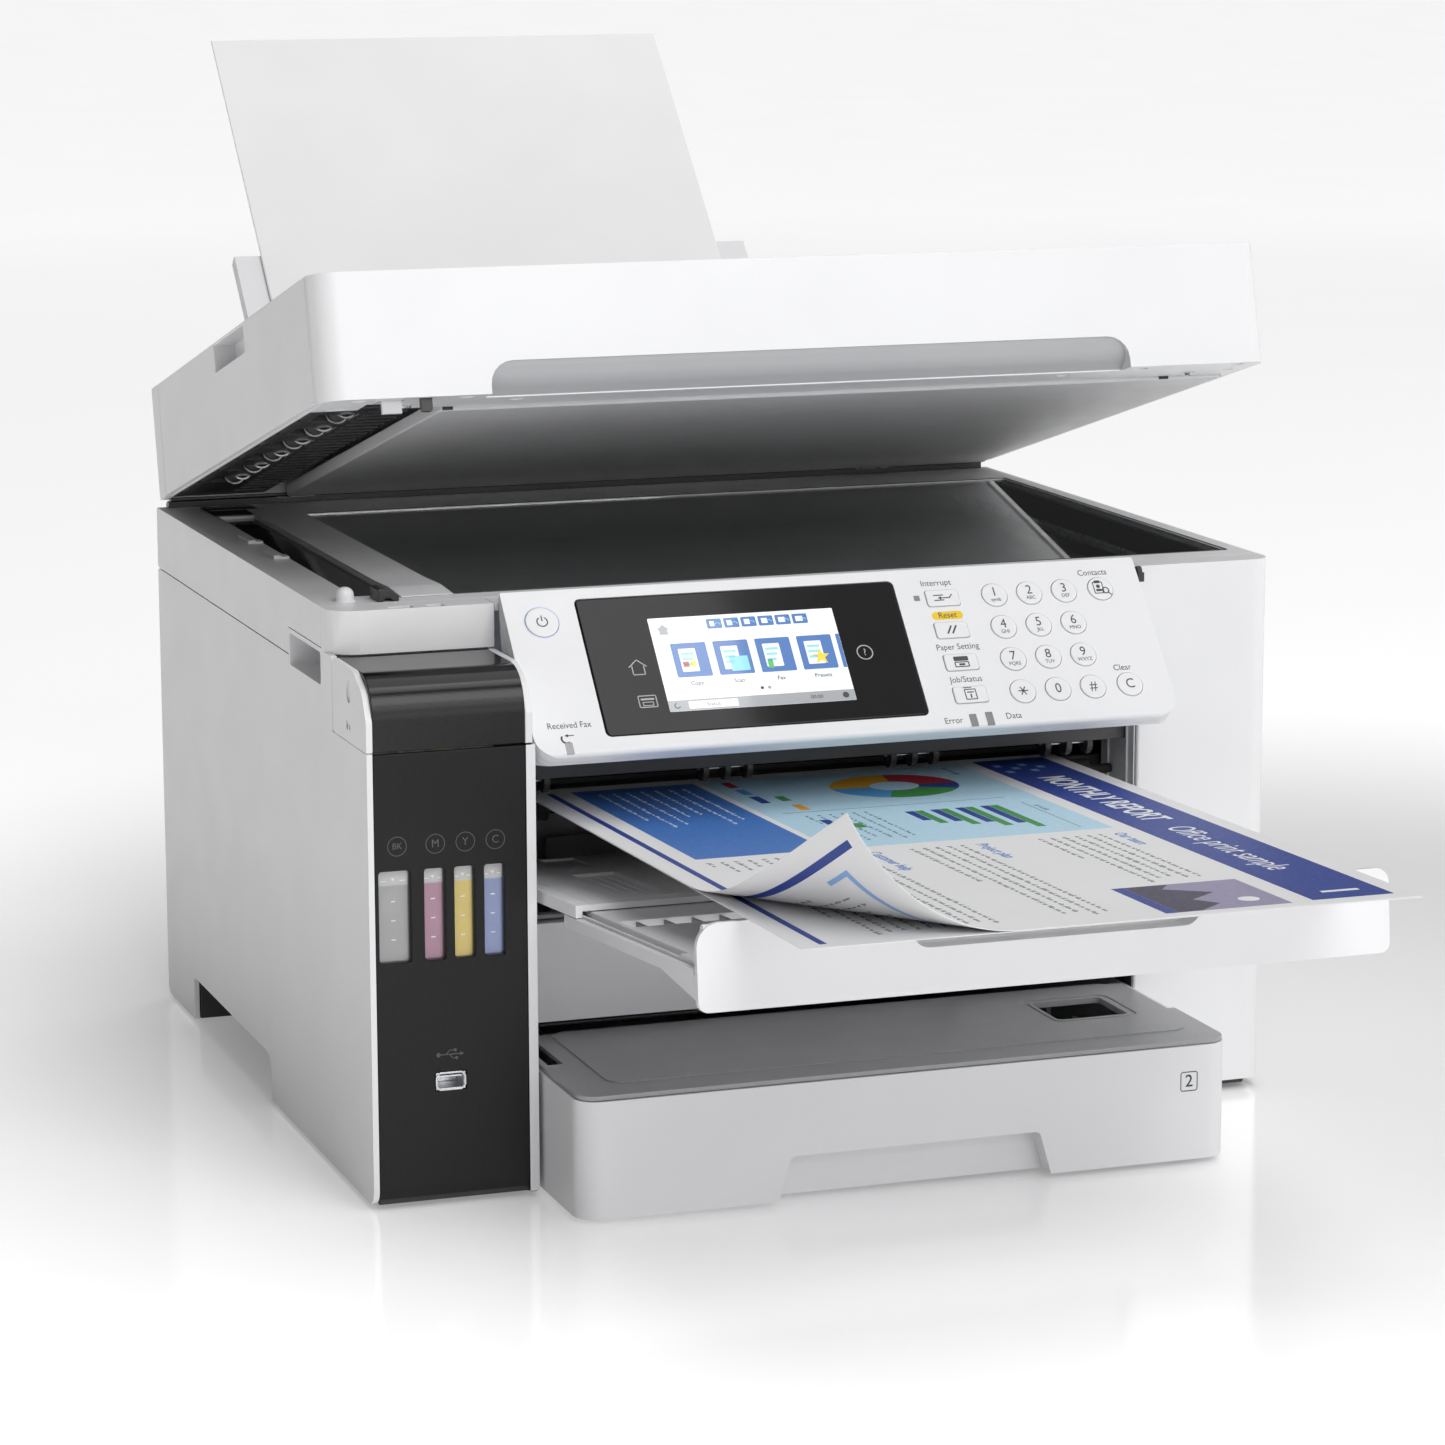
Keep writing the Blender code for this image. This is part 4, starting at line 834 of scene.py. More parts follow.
def panel_outline(out, rear, corner, steps):
    """The panel seen from its face, grown outwards by this much."""
    left, right, low = PANEL_LEFT - out, PANEL_RIGHT + out, PANEL_LOW - out
    return rounded([(left, low, corner), (right, low, corner), (right, rear, 2), (left, rear, 2)], steps)


def control_panel():
    """Sloping white panel with wells for its display and keys, and two grooves round its edge."""
    section = rounded([
        (0, 0, 1), (PANEL_LOW, 0, 2.5), (PANEL_LOW, -9, 3), (PANEL_LOW + 6, -PANEL_DEPTH, 3),
        (-22, -PANEL_DEPTH, 0), (-4, -5, 0), (0, -2.2, 0),
    ], 10)
    plan = prism(panel_outline(0.0, 0.01, 12, 14), "xy", -30, 6)
    shell = carve(prism(section, "yz", PANEL_LEFT, PANEL_RIGHT), plan, operation="INTERSECT")
    well = (-3.8, 6)
    tools = [plate(-134.3, -87.8, 37.3, -6.7, 3.2, -3.4, 6, steps=8)]
    for column, row, *_ in ROUND_KEYS.values():
        tools.append(prism(ring(KEY_COLUMNS[column], KEY_ROWS[row], KEY_R + KEY_GAP), "xy", *well))
    tools.append(prism(ring(*POWER_AT, POWER_R + KEY_GAP, 64), "xy", *well))
    half_x, half_y = (half + KEY_GAP for half in MODE_HALF)
    tools += [plate(MODE_X - half_x, v - half_y, MODE_X + half_x, v + half_y, 1.7, *well) for v in KEY_ROWS]
    outer, inner = panel_outline(6, 9, 16, 10), panel_outline(-0.45, 5, 11.5, 10)
    tools += [band(outer, inner, "xy", -depth, -depth + 0.35) for depth in (6.4, 10.4)]
    on_panel("control_panel_shell", carve(shell, *tools), WHITE, "body_white", 0.35, 3, ("control_panel",))
    display()
    keys()
    legends()


SCREEN_GLOW = 0.30
SCREEN_COLOURS = {
    "white": ((0.80, 0.84, 0.86), SCREEN_GLOW), "blue": ((0.06, 0.16, 0.42), SCREEN_GLOW),
    "cyan": ((0.25, 0.62, 0.78), SCREEN_GLOW), "grey": ((0.35, 0.36, 0.38), SCREEN_GLOW * 0.5),
    "dark": ((0.05, 0.05, 0.06), 0.0), "yellow": ((0.80, 0.60, 0.05), SCREEN_GLOW),
    "green": ((0.10, 0.45, 0.12), SCREEN_GLOW), "red": ((0.55, 0.10, 0.05), SCREEN_GLOW),
}
GLASS_FACE = 0.22  # height of the display glass above the panel's face
LAYERS = (GLASS_FACE, 0.26, 0.30, 0.34)  # heights of the picture, its tiles, the marks on them and theirs


def display():
    """Touch glass with a lit menu picture and the two touch symbols beside it."""
    glass = plate(-134.0, -87.5, 37.0, -7.0, 3.0, -3.0, GLASS_FACE, steps=8)
    on_panel("touch_glass", glass, GLOSS_BLACK, "black_gloss", 0.9, 3, ("touch_display",))
    u0, v0, u1, v1 = SCREEN
    base, flat, mark, over = LAYERS
    lit = {
        name: plain("screen_" + name, colour, 0.12, glow, 1.0, 0.01)
        for name, (colour, glow) in SCREEN_COLOURS.items()
    }
    drawn = {name: [] for name in SCREEN_COLOURS}
    white, blue, cyan, grey, dark = (drawn[name] for name in ("white", "blue", "cyan", "grey", "dark"))
    grey.append(tile(u0 + 0.1, v0 + 0.1, u1 - 0.1, v0 + 6.4, flat, 0.3))
    white.append(tile(-88.0, v0 + 1.1, -62.0, v0 + 5.4, mark, 0.5))
    dark += [
        word("Status", 3.0, -75.0, v0 + 3.2, over), word("00:00", 3.0, -20.0, v0 + 3.2, over),
        stroke(arc(-94.0, v0 + 3.3, 1.4, 110, 330), 0.45, mark),
        prism(ring(-4.5, v0 + 3.3, 1.7, 24), "xy", mark, over),
    ]
    home = [
        (-95.0, -28.0), (-91.6, -25.0), (-88.2, -28.0), (-89.4, -28.0), (-89.4, -31.0), (-93.8, -31.0),
        (-93.8, -28.0),
    ]
    grey.append(prism(home, "xy", flat, mark))
    for i, left in enumerate((-68.0, -58.8, -49.6, -40.4, -31.2, -22.0)):
        blue.append(tile(left, -29.0, left + 8.0, -23.2, flat, 0.7))
        white.append(tile(left + 1.6, -27.6, left + 4.0 + 0.3 * i, -24.6, mark, 0.3))
        cyan.append(stroke(arc(left + 5.6, -27.2, 1.5, 20, 150, 6), 0.4, mark))
    for label, left in zip(("Copy", "Scan", "Fax", "Presets"), (-90.0, -67.6, -45.2, -22.8)):
        blue.append(tile(left, -56.5, left + 18.6, -36.5, flat, 0.8))
        dark.append(word(label, 3.3, left + 9.3, -60.3, flat, squeeze=0.95, weight=0.03))
        white.append(tile(left + 3.4, -53.4, left + 12.4, -39.8, mark, 0.5))
        for row in range(3):
            low = -43.6 - row * 3.1
            cyan.append(tile(left + 4.6, low, left + 11.2 - row, -42.2 - row * 3.1, over, 0.1))
    star = []
    for i in range(10):
        reach = 2.1 if i % 2 else 5.0
        star.append((-12.2 + reach * sin(pi * i / 5), -49.4 + reach * cos(pi * i / 5)))
    drawn["red"].append(tile(-85.6, -50.6, -82.4, -47.4, 0.35, 0.1, 0.04))
    drawn["yellow"] += [tile(-81.8, -50.6, -78.8, -47.4, 0.35, 0.1, 0.04), prism(star, "xy", 0.35, 0.39)]
    drawn["green"].append(tile(-41.0, -54.2, -38.2, -49.0, 0.35, 0.3, 0.04))
    cyan.append(tile(-60.8, -54.6, -51.0, -46.0, over, 0.4))
    blue.append(tile(-1.6, -56.5, u1 - 0.1, -36.5, flat, 0.2))
    dark.append(prism(ring(-47.5, -65.4, 0.9, 20), "xy", flat, mark))
    grey.append(prism(ring(-43.6, -65.4, 0.9, 20), "xy", flat, mark))
    on_panel("screen_sheet", tile(u0, v0, u1, v1, base, 0.4), lit["white"])
    for name, forms in drawn.items():
        on_panel(f"screen_{name}_{'tiles' if name == 'blue' else 'marks'}", forms, lit[name])

    symbols = [
        stroke([(-114.0, -48.6), (-109.5, -44.6), (-105.0, -48.6)], 0.55, base),
        stroke([(-112.6, -48.4), (-112.6, -53.2), (-106.4, -53.2), (-106.4, -48.4)], 0.55, base),
        frame_of(-113.6, -72.6, -103.8, -65.4, 0.55, base, 1.0), tile(-112.2, -68.2, -105.2, -67.2, base),
        frame_of(-111.6, -71.6, -105.8, -69.2, 0.45, base, 0.3),
        hoop(11.8, -48.5, 4.4, 3.8, base), word("?", 5.6, 11.8, -48.5, base),
    ]
    on_panel("touch_symbols", symbols, plain("touch_symbols", (0.42, 0.42, 0.43), 0.3))


def contacts_symbol(u, v, z):
    return [
        frame_of(u - 4.0, v - 3.2, u + 1.6, v + 4.0, 0.5, z, 0.5),
        tile(u - 2.8, v + 3.2, u + 0.4, v + 4.8, z, 0.3),
        prism(ring(u - 1.2, v + 1.2, 1.1, 20), "xy", z, z + MARK),
        tile(u - 2.8, v - 1.8, u + 0.4, v - 0.4, z, 0.5),
        hoop(u + 2.4, v - 1.4, 2.0, 1.4, z), stroke([(u + 3.8, v - 2.8), (u + 5.0, v - 4.2)], 0.6, z),
    ]


def interrupt_symbol(u, v, z):
    return [
        tile(u - 5.0, v + 1.2, u + 0.4, v + 1.8, z), tile(u - 5.0, v - 1.8, u + 0.4, v - 1.2, z),
        stroke([(u + 5.0, v + 1.6), (u + 3.6, v - 0.2), (u - 1.6, v - 0.2)], 0.6, z),
        prism([(u - 1.0, v + 0.9), (u - 1.0, v - 1.3), (u - 2.9, v - 0.2)], "xy", z, z + MARK),
    ]


def reset_symbol(u, v, z):
    return [stroke([(u - 2.6 + s, v - 2.0), (u - 0.2 + s, v + 2.0)], 0.9, z) for s in (0.0, 2.7)]


def paper_symbol(u, v, z):
    return [
        tile(u - 4.0, v + 0.5, u + 4.0, v + 3.2, z, 0.5),
        frame_of(u - 4.0, v - 3.2, u + 4.0, v + 0.1, 0.6, z, 0.5),
        tile(u - 1.6, v - 2.2, u + 1.6, v - 1.0, z, 0.2),
    ]


def job_symbol(u, v, z):
    return [
        frame_of(u - 3.2, v - 3.2, u + 3.2, v + 3.2, 0.55, z, 0.5),
        tile(u - 1.8, v + 0.9, u + 1.8, v + 1.6, z),
        tile(u - 0.4, v - 2.2, u + 0.4, v + 0.2, z), stroke([(u - 3.2, v + 4.0), (u + 1.0, v + 4.0)], 0.5, z),
    ]


MODE_SYMBOLS = {
    "key_interrupt": interrupt_symbol, "key_reset": reset_symbol,
    "key_paper_setting": paper_symbol, "key_job_status": job_symbol,
}


def round_key(name, radius, u, v, drawn, ink):
    """A round key with what is printed on it."""
    body, cap = name + "_button", keycap(radius, u, v, KEY_TOP)
    piece(PANEL, body, name + "_cap", cap, KEY_WHITE, "key_white", 0.0, 1, (name,), 50)
    piece(PANEL, body, name + "_legend", drawn, ink)


def keys():
    """Keypad, mode keys and power key, each on its own body."""
    ink = plain("key_legend", (0.05, 0.05, 0.052), 0.45)
    top = KEY_TOP
    for name, (column, row, symbol, small) in ROUND_KEYS.items():
        u, v = KEY_COLUMNS[column], KEY_ROWS[row]
        drawn = []
        if symbol == "*":
            for turn in (0.0, pi / 3, 2 * pi / 3):
                reach_u, reach_v = 2.4 * cos(turn), 2.4 * sin(turn)
                drawn.append(stroke([(u - reach_u, v - reach_v), (u + reach_u, v + reach_v)], 0.6, top))
        elif symbol:
            size, lift = (7.6, 1.5) if small else (8.0, 0.0)
            drawn.append(word(symbol, size, u, v + lift, top, squeeze=0.9))
        if small:
            drawn.append(word(small, 3.0, u, v - 3.1, top, squeeze=0.9))
        if name == "key_contacts":
            drawn += contacts_symbol(u, v, top)
        round_key(name, KEY_R, u, v, drawn, ink)
    u, v = POWER_AT
    power = [stroke(arc(u, v, 2.7, 125, 415), 0.6, top), stroke([(u, v + 0.6), (u, v + 3.4)], 0.6, top)]
    round_key("key_power", POWER_R, u, v, power, ink)
    halo = plain("power_ring", (0.50, 0.56, 0.72), 0.3, 0.25)
    on_panel("power_ring", hoop(u, v, POWER_R + 0.95, POWER_R + 0.45), halo)
    half_x, half_y = MODE_HALF
    for (name, symbol), row in zip(MODE_SYMBOLS.items(), KEY_ROWS):
        cap = plate(MODE_X - half_x, row - half_y, MODE_X + half_x, row + half_y, 1.5, -2.5, top)
        piece(PANEL, name + "_button", name + "_cap", cap, KEY_WHITE, "key_white", 0.5, 3, (name,))
        piece(PANEL, name + "_button", name + "_legend", symbol(MODE_X, row, top), ink)


PANEL_WORDS = (
    ("Interrupt", 60.5, -9.6, 0.92), ("Paper Setting", 62.5, -48.6, 0.88), ("Job/Status", 62.0, -68.2, 0.88),
    ("Contacts", 148.5, -8.8, 0.9), ("Clear", 149.0, -67.2, 0.9), ("Error", 49.0, -92.0, 0.9),
    ("Data", 82.0, -91.4, 0.9), ("Received Fax", -152.0, -79.6, 0.86),
)
PANEL_WORD_SIZE = 5.0
PANEL_LAMPS = (
    (46.4, -19.8, 49.6, -16.6, 0.3), (-156.4, -96.0, -152.4, -89.4, 0.4),
    (57.9, -96.0, 61.9, -88.8, 0.4), (66.8, -96.0, 70.8, -88.2, 0.4),
)


def legends():
    """What the keys and lamps do, printed on the panel, and the lamps' lenses."""
    ink = plain("panel_words", (0.05, 0.05, 0.052), 0.5)
    words = [word(text, PANEL_WORD_SIZE, u, v, squeeze=squeeze) for text, u, v, squeeze in PANEL_WORDS]
    words += [
        stroke(arc(-155.0, -87.2, 2.4, 150, 300, 10), 0.9), stroke([(-151.0, -85.4), (-154.4, -85.4)], 0.5),
        prism([(-153.8, -84.4), (-153.8, -86.4), (-155.6, -85.4)], "xy", 0.0, MARK),
    ]
    on_panel("panel_words", words, ink)
    pill = tile(MODE_X - 8.5, -31.9, MODE_X + 8.5, -27.1, 0.0, 2.3)
    on_panel("reset_pill", pill, plain("reset_yellow", (0.80, 0.52, 0.0), 0.4))
    on_panel("reset_word", word("Reset", PANEL_WORD_SIZE, MODE_X, -29.4, MARK, squeeze=0.9), ink)
    lamps = [tile(u0, v0, u1, v1, -0.2, radius, 0.3) for u0, v0, u1, v1, radius in PANEL_LAMPS]
    on_panel("panel_lamps", lamps, plain("lamp_lens_grey", (0.22, 0.22, 0.23), 0.18, 0.0, 0.8))


# ---- printed sheets: x across, s forwards from the rear edge, laid on the tray ----
LOWER_TOP, UPPER_LOW, UPPER_TOP = 0.28, 0.40, 0.66
FOLD_START, FOLD_END = Vector((-149.0, 268.0)), Vector((-45.0, 424.0))
CURL_RADIUS = 51.0
PRINT = 0.04  # thickness of a printed mark


def curl(form):
    """Rolls the part of a form beyond the fold line up around a cylinder."""
    along = (FOLD_END - FOLD_START).normalized()
    out = Vector((-along.y, along.x))
    for vertex in form.verts:
        x, s, h = vertex.co.x, -vertex.co.y, vertex.co.z
        past = (Vector((x, s)) - FOLD_START).dot(out)
        if past <= 0:
            continue
        turn = past / CURL_RADIUS
        reach = (CURL_RADIUS - h) * sin(turn)
        foot = Vector((x, s)) - out * past + out * reach
        vertex.co = (foot.x, -foot.y, CURL_RADIUS - (CURL_RADIUS - h) * cos(turn))
    return form


def slice_up(form, step=6.0):
    """Cuts a flat form into strips near the fold, so that it can bend."""
    along = (FOLD_END - FOLD_START).normalized()
    out = Vector((-along.y, along.x, 0.0))
    for i in range(int(92 / step)):
        spot = Vector((FOLD_START.x, -FOLD_START.y, 0.0)) + Vector((out.x, -out.y, 0.0)) * i * step
        everything = form.verts[:] + form.edges[:] + form.faces[:]
        bmesh.ops.bisect_plane(form, geom=everything, plane_co=spot, plane_no=Vector((out.x, -out.y, 0.0)))
    return form


def page(x0, s0, x1, s1, z=UPPER_TOP):
    """A rectangle printed on the sheet, given across and forwards."""
    low, high = sorted((s0, s1))
    return plate(min(x0, x1), -high, max(x0, x1), -low, 0.0, z, z + PRINT)


def text_lines(x_first, s_first, s_last, rows, pitch, seed, z=UPPER_TOP, tall=2.0):
    """Lines of print too small to read: runs of word-length bars, as a page of text looks from afar."""
    rng = random.Random(seed)
    forms = []
    for row in range(rows):
        x = x_first - row * pitch
        s = s_first
        closing = row == rows - 1
        last = s_last - (rng.uniform(0.35, 0.7) * (s_last - s_first) if closing else rng.uniform(0, 9.0))
        while s < last:
            length = rng.uniform(2.5, 8.5)
            letters = max(2, int(length / 1.7))
            for k in range(letters):
                start = s + k * 1.7
                rise = rng.choice((0.0, 0.0, 0.7))
                drop = rng.choice((0.0, 0.0, 0.0, 0.6))
                forms.append(page(x - tall / 2 - drop, start, x + tall / 2 - 0.5 + rise, start + 0.75, z))
                forms.append(page(x - tall / 2, start, x - tall / 2 + 0.5, start + 1.35, z))
            s += letters * 1.7 + 1.8
    return forms


def sheet_of(low, high, bend):
    corners = [(-SHEET_HALF, -SHEET_LONG), (SHEET_HALF, -SHEET_LONG), (SHEET_HALF, 0), (-SHEET_HALF, 0)]
    form = prism(corners, "xy", low, high)
    return curl(slice_up(form, 2.5)) if bend else form


def ring_part(x, s, outer, inner, start, end, z):
    """A slice of a ring chart."""
    steps = max(4, int(abs(end - start) / 8))
    rim = [(px, -ps) for px, ps in arc(x, s, outer, start, end, steps)]
    hole = [(px, -ps) for px, ps in arc(x, s, inner, end, start, steps)]
    return prism(rim + hole, "xy", z, z + PRINT)


OVER = UPPER_TOP + PRINT  # marks printed on a printed block
BACK = UPPER_LOW - PRINT  # marks on the underside of the curling sheet
PRINT_INKS = {
    "navy": ((0.015, 0.045, 0.27), 0.5), "blue": ((0.05, 0.17, 0.50), 0.5),
    "pale_blue": ((0.46, 0.67, 0.80), 0.55), "text_grey": ((0.10, 0.10, 0.11), 0.6),
    "white": ((0.80, 0.82, 0.84), 0.55), "red": ((0.42, 0.015, 0.03), 0.5),
    "amber": ((0.75, 0.36, 0.015), 0.5), "green": ((0.05, 0.28, 0.06), 0.5),
    "sky": ((0.08, 0.33, 0.66), 0.5), "light_blue": ((0.25, 0.42, 0.72), 0.5),
    "dusk": ((0.30, 0.27, 0.40), 0.5), "hills": ((0.05, 0.045, 0.08), 0.5),
}
TEXT_BLOCKS = (  # x of the first line, its start and end, lines, their pitch, seed, height, size
    (77.0, 226.0, 342.0, 6, 6.4, 4), (4.5, 226.0, 398.0, 5, 6.4, 7), (-50.0, 226.0, 402.0, 4, 6.4, 9),
    (-68.0, 222.0, 246.0, 9, 6.8, 13), (-6.0, 124.0, 196.0, 6, 6.2, 21, OVER, 1.4),
    (78.0, 20.0, 66.0, 1, 6.0, 25, OVER, 2.4), (80.0, 140.0, 170.0, 1, 6.0, 26, OVER, 2.4),
)
BLOCK_TEXT_X = (-68.5, -76.0, -83.5, -91.0, -98.5, -106.0, -113.5)
CHART_AT, CHART_OUTER, CHART_INNER = (34.7, 60.4), 33.5, 12.8
SLICES = {"red": (280, 363), "navy": (3, 33), "green": (33, 115), "sky": (115, 185), "amber": (185, 280)}
CHART_KEYS = {  # rectangles in the legends of the two charts
    "red": [(-45.5, 18.0, -40.5, 34.0)], "amber": [(-33.5, 92.0, -28.5, 108.0)],
    "green": [(-33.5, 66.0, -28.5, 80.0), (-24.5, 152.0, -19.5, 164.0)], "sky": [(-45.5, 40.0, -40.5, 56.0)],
    "navy": [],
}
BARS = {"green": (5.0, 9.6, 168.0, 9.0), "navy": (0.0, 4.6, 158.0, 8.0)}  # left, right, first end, growth


def printed_sheets():
    """A flat sheet, and one whose near corner curls up, under made-up print."""
    under, top = sheet_of(0.0, LOWER_TOP, False), sheet_of(UPPER_LOW, UPPER_TOP, True)
    on_sheet("printed_sheet_under", under, PAPER, "paper", 0.0, 1, ("printed_sheet",))
    on_sheet("printed_sheet_top", top, PAPER, "paper", 0.0, 1, (), 60)
    inks = {name: plain("print_" + name, colour, rough) for name, (colour, rough) in PRINT_INKS.items()}
    printed_blocks(inks)
    printed_words(inks)
    charts(inks)
    landscape(inks)
    beneath(inks)


def printed_blocks(inks):
    navy = [
        curl(slice_up(page(-138.2, 13, -134.6, 296))), page(99.0, 9, 139.5, 410), page(26.0, 352, 31.9, 412),
        page(-45.5, 62.0, -40.5, 82.0, OVER), page(-35.5, 137.0, -30.5, 150.0, OVER),
    ]
    on_sheet("sheet_navy", navy, inks["navy"])
    on_sheet("sheet_blue_block", page(-125.2, 13, -59.0, 211), inks["blue"])
    on_sheet("sheet_pale_block", page(-55.0, 12, 90.0, 212), inks["pale_blue"])
    corners = ((0, 0), (1, 1), (2, 0), (2, 2), (0, 2), (3, 1))
    pattern = [page(104.0 + i * 7.0, 24 + j * 9.0, 108.0 + i * 7.0, 30 + j * 9.0, OVER) for i, j in corners]
    on_sheet("sheet_header_pattern", pattern, inks["light_blue"])


def heading(text, size, x, s, z, squeeze, weight=0.0):
    """A line of letters that starts at (x, s) and runs forwards."""
    return word(text, size, x, -s, z, PRINT, "LEFT", squeeze, -90.0, weight)


def printed_words(inks):
    titles = (("Our team", 86.0), ("Project plan", 14.0), ("Customer help", -41.5))
    forms = [heading(text, 8.6, x, 226.0, UPPER_TOP, 0.92, 0.12) for text, x in titles]
    on_sheet("sheet_titles", forms, inks["blue"])
    header = [
        heading("MONTHLY REPORT", 21.0, 118.5, 66.0, OVER, 0.74, 0.45),
        heading("Office print sample", 20.0, 118.5, 222.0, OVER, 0.76),
        heading("1", 26.0, 119.0, 388.0, OVER, 1.0, 0.5),
    ]
    on_sheet("sheet_header_words", header, inks["white"])
    pale = [form for x in BLOCK_TEXT_X for form in text_lines(x, 26.0, 198.0, 1, 7, int(x * -10), OVER, 1.5)]
    on_sheet("sheet_block_text", pale, inks["white"])
    black = [form for lines in TEXT_BLOCKS for form in text_lines(*lines)]
    black += [page(-46.0, 113.0, 74.0, 113.5, OVER), page(76.0, 130.0, 76.4, 204.0, OVER)]
    on_sheet("sheet_text", black, inks["text_grey"])


def charts(inks):
    """Ring chart, bar chart and their legends, one piece to each colour."""
    for label, (start, end) in SLICES.items():
        forms = [ring_part(*CHART_AT, CHART_OUTER, CHART_INNER, start, end, OVER)]
        forms += [page(*corners, OVER) for corners in CHART_KEYS[label]]
        if label in BARS:
            left, right, first, growth = BARS[label]
            for i in range(4):
                x = 12.0 + i * 13.5
                forms.append(page(x + left, 132.0, x + right, first + i * growth, OVER))
        on_sheet(f"sheet_chart_{label}", forms, inks[label])


def landscape(inks):
    """A picture block: dusk sky, hills and a low sun."""
    on_sheet("sheet_picture", page(32.0, 352, 88.0, 412), inks["dusk"])
    ridge = [
        (32.2, -352.5), (54.0, -352.5), (47.0, -362.0), (66.0, -376.0), (50.0, -388.0), (58.0, -400.0),
        (44.0, -411.5), (32.2, -411.5),
    ]
    on_sheet("sheet_picture_hills", prism(ridge, "xy", OVER, OVER + PRINT), inks["hills"])
    on_sheet("sheet_picture_sun", prism(ring(74.0, -396.0, 5.0, 30), "xy", OVER, OVER + PRINT), inks["white"])


def beneath(inks):
    """Print on the lower sheet and on the back of the curled corner."""
    on_sheet("under_sheet_stripe", page(-138.2, 20, -134.6, 413, LOWER_TOP), inks["navy"])
    lines = text_lines(-60.0, 330.0, 404.0, 9, 6.6, 31, LOWER_TOP)
    on_sheet("under_sheet_text", lines, inks["text_grey"])
    on_sheet("curl_stripe", curl(slice_up(page(-138.6, 292, -134.6, 413, BACK), 3.0)), inks["navy"])
    corner = [(-128.0, 398.0, -62.0, 401.0), (-128.0, 384.0, -125.4, 398.0)]
    on_sheet("curl_line", [curl(slice_up(page(*sides, BACK), 3.0)) for sides in corner], inks["light_blue"])
    faint = text_lines(-88.0, 340.0, 388.0, 6, 6.8, 41, BACK, 1.8)
    on_sheet("curl_text", [curl(slice_up(form, 12.0)) for form in faint], inks["text_grey"])


# ---- output tray: -y runs forwards along the slope ----
def output_tray():
    """Two telescoping stages."""
    x0, x1 = -168.0, 175.5
    inner = prism([(x0, -115.5), (x1, -115.5), (x1, 58), (x0, 58)], "xy", -3.0, 0.0)
    skirts = [block(span, (-115.5, 58), (-6.2, -1.0)) for span in ((x0, x0 + 3.4), (x1 - 3.4, x1))]
    tools = [
        plate(-137, -85, -114, -9, 1.5, -1.6, 5), plate(-134.5, 18, -116.0, 54, 1.0, -1.2, 5),
        plate(30, -70, 120, -62, 2.0, -0.8, 5), block((x0 - 1, x1 + 1), (-103.0, -102.2), (-0.45, 5)),
        block((x0 + 8, x0 + 8.5), (-116, 59), (-0.45, 5)), block((x1 - 8.5, x1 - 8), (-116, 59), (-0.45, 5)),
    ]
    tools += [block((x, x + 3.0), (-116, -112.5), (-5, 5)) for x in range(-60, 140, 24)]
    bed = carve(fuse(inner, *skirts), *tools)
    stands_for = ("output_tray_inner",)
    # The inner stage and its ribs take the lighter, painted-light copy of the tray white.
    on_inner_tray("output_tray_inner_bed", bed, TRAY_INNER_PAINTED_LIGHT, "inner_white", 0.4, 3, stands_for)
    rib_forms = [block((x, x + 1.4), (-96.0, -14.0), (-2.0, -1.55 + 0.5)) for x in (-131.0, -125.5, -120.0)]
    on_inner_tray("tray_pocket_ribs", rib_forms, TRAY_INNER_PAINTED_LIGHT, "inner_white", 0.2, 2)
    finish_outer_tray()


def finish_outer_tray():
    """The front stage: bed, upturned front wall, rails, slot and stop."""
    x0, x1 = -168.0, 175.5
    front, bed_top, rail_low = -296.2, -3.6, -12.6
    low, high = -26.0, 14.4
    outline = rounded([(x0, low, 5), (x1, low, 5), (x1, high, 7), (x0, high, 11)], 10)
    face = prism(outline, "xz", front, front + 3.4)
    floor = block((x0 + 7.5, x1 - 7.5), (front + 3, -96), (-7.4, bed_top))
    scoop = prism(rounded([
        (front + 1.6, -7.2, 0), (front + 34, -7.2, 0), (front + 34, bed_top, 0), (front + 17.5, bed_top, 13),
        (front + 4.0, high - 0.8, 0), (front + 1.6, high - 0.8, 0),
    ], 14), "yz", x0 + 3.8, x1 - 3.8)
    rails, gussets = [], []
    for edge, sign in ((x0, 1), (x1, -1)):
        span = sorted((edge, edge + sign * 9))
        rails.append(block(span, (front + 6, -96), (rail_low, -6.7)))
        rails.append(block(sorted((edge + sign * 3.6, edge + sign * 4.6)), (front + 20, -97), (-7.0, -5.2)))
        gusset = [
            (front + 3, low + 5), (front + 62, rail_low + 1.2), (front + 62, rail_low + 3),
            (front + 3, rail_low + 3),
        ]
        gussets.append(prism(gusset, "yz", *sorted((edge + sign * 0.4, edge + sign * 3.0))))
    whole = fuse(face, floor, scoop, *rails, *gussets)
    dip = rounded([(-74, high + 9, 0), (-62, -5.0, 9), (76, -5.0, 9), (88, high + 9, 0)], 12)
    dip = prism(dip, "xz", front - 9, front + 14.5)
    slot = plate(-158, -174, 165, -153, 2.0, -9, 0)
    lines = [block((-150, 158), (y, y + 0.6), (bed_top - 0.45, 3)) for y in (-150.0, -178.5)]
    bed = carve(whole, dip, slot, *lines)
    on_outer_tray("output_tray_outer_bed", bed, TRAY_WHITE, "inner_white", 0.7, 4, ("output_tray_outer",))
    ribs = [block((x, x + 1.2), (-173.6, -153.4), (-7.2, -4.4)) for x in range(-150, 165, 14)]
    on_outer_tray("tray_slot_ribs", ribs, MID_GREY, "inner_white", 0.2, 2)
    stop = plate(-9, -0.6, 9, 0.6, 0.4, -5.0, bed_top + 0.4, steps=3)
    stop.transform(Matrix.Translation((0, -190.0, 0)))
    on_outer_tray("tray_stop", stop, TRAY_WHITE, "inner_white", 0.2, 2)


